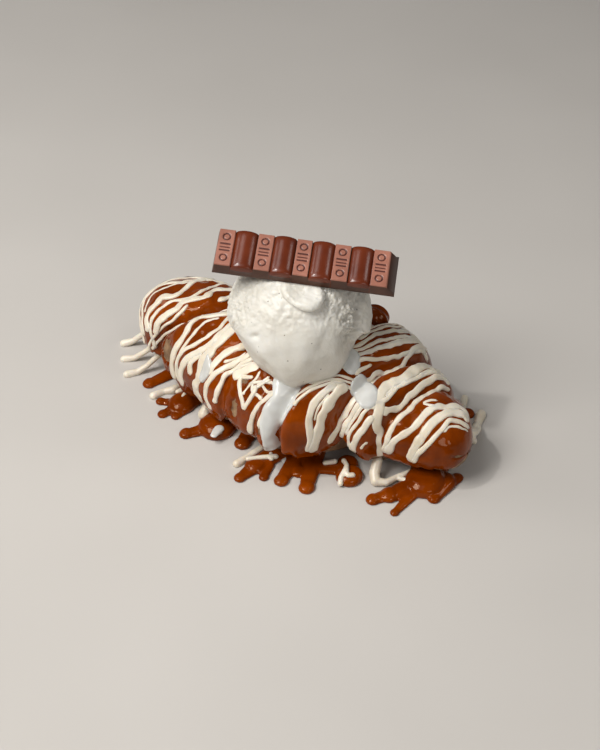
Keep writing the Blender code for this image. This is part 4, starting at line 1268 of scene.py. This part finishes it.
def make_bar():
    """The chocolate bar: panels with pressed marks between glossy humps."""
    place = bar_frame()
    rings = []
    for along, height in bar_stations():
        share = hump_share(along)
        is_hump = abs(share) <= 1.0
        spread = BAR_HUMP_OVERHANG * math.sqrt(1.0 - share * share) if is_hump else 0.0
        section = bar_section(along, height, spread, is_hump)
        rings.append([
            BAR_CENTRE + place @ Vector((along, across, z - BAR_PANEL_HEIGHT))
            for across, z in section])
    obj = mesh_piece("bar", rings, loft_faces(len(rings), len(rings[0])))
    colour_bar(obj)
    return obj


def colour_bar(obj):
    """Give panels, humps, sides and pressed marks their own look: one chocolate with painted sheen on the
    panels and painted shade on the sides and in the marks.
    """
    for look in BAR_LOOKS:
        obj.data.materials.append(bar_material(*look))
    place = bar_frame().inverted()
    for face in obj.data.polygons:
        local = place @ (face.center - BAR_CENTRE)
        along, across, z = local.x, local.y, local.z + BAR_PANEL_HEIGHT
        # faces that no test below picks keep the panels' look, with its painted sheen
        if abs(hump_share(along)) <= 1.0 and z > BAR_HUMP_FOOT:
            face.material_index = HUMP_LOOK
        elif z < BAR_PANEL_HEIGHT - BAR_EDGE or abs(across) > 0.5 * BAR_WIDTH:
            # the sides take painted shade
            face.material_index = SIDE_SHADE_LOOK
        # the deeper part of each pressed mark takes painted shade
        elif mark_depth(along, across) > MARK_SHADE_SHARE * MARK_DEPTH:
            face.material_index = MARK_SHADE_LOOK


# ======== camera, lights and floor ========
def make_floor():
    half = 0.5 * FLOOR_SIZE
    turns = ((-half, -half), (half, -half), (half, half), (-half, half))
    corners = [(x, y, FLOOR_LEVEL) for x, y in turns]
    floor = mesh_piece("floor", corners, [(0, 1, 2, 3)], closed=False)
    floor.data.materials.append(floor_material())


def direction(azimuth, elevation):
    """Unit vector from the dessert at angles in radians; azimuth 0 is its front, -Y."""
    level = math.cos(elevation)
    return Vector((
        math.sin(azimuth) * level, -math.cos(azimuth) * level, math.sin(elevation)))


def make_camera():
    """A camera at the photograph's angle, with its small roll."""
    back = direction(CAMERA_AZIMUTH, CAMERA_ELEVATION)
    right = Vector((math.cos(CAMERA_AZIMUTH), math.sin(CAMERA_AZIMUTH), 0.0))
    up = back.cross(right)
    rolled_right = right * math.cos(CAMERA_ROLL) + up * math.sin(CAMERA_ROLL)
    rolled_up = up * math.cos(CAMERA_ROLL) - right * math.sin(CAMERA_ROLL)
    axes = Matrix((rolled_right, rolled_up, back)).transposed().to_4x4()
    data = bpy.data.cameras.new("camera")
    data.lens = CAMERA_LENS
    data.clip_start = CAMERA_CLIP
    camera = place_object("camera", data)
    camera.matrix_world = Matrix.Translation(CAMERA_TARGET + back * CAMERA_DISTANCE) @ axes
    bpy.context.scene.camera = camera


def add_light(name, azimuth, elevation, distance, size, power, colour):
    """A soft square light that faces the dessert."""
    data = bpy.data.lights.new(name, "AREA")
    data.size = size
    data.energy = power
    data.color = colour
    light = place_object(name, data)
    outward = direction(math.radians(azimuth), math.radians(elevation))
    light.location = LIGHTS_TARGET + outward * distance
    light.rotation_euler = outward.to_track_quat("Z", "Y").to_euler()


def make_light():
    """A soft key from the left, weak ones from other sides and a pale room."""
    for light in LIGHTS:
        add_light(*light)
    world = bpy.data.worlds.new("studio")
    world.use_nodes = True
    set_inputs(world.node_tree.nodes["Background"], {
        "Color": ROOM_COLOUR, "Strength": ROOM_STRENGTH})
    bpy.context.scene.world = world
    bpy.context.scene.view_settings.view_transform = "Standard"


# ======== the dessert ========
def finish_piece(piece, material=None, node=None):
    """Give a piece its material and make it part of the dessert."""
    if material is not None:
        piece.data.materials.clear()
        piece.data.materials.append(material)
    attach(piece, "root")
    if node is not None:
        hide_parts(node)


chocolate = chocolate_material()
white = drizzle_material()
finish_piece(make_coat(), chocolate, node="croffle")
finish_piece(make_pastry(), pastry_material())
finish_piece(make_lump(), chocolate)
finish_piece(make_drizzle(), white)
melt = melt_material()
finish_piece(make_melt(), melt)
finish_piece(make_pools(), melt)
finish_piece(make_sauce(), chocolate)
finish_piece(make_trails(), white)
finish_piece(make_scoop(), ice_cream_material(), "ice_cream_scoop")
finish_piece(make_bar(), None, "chocolate_bar")

make_floor()
make_camera()
make_light()
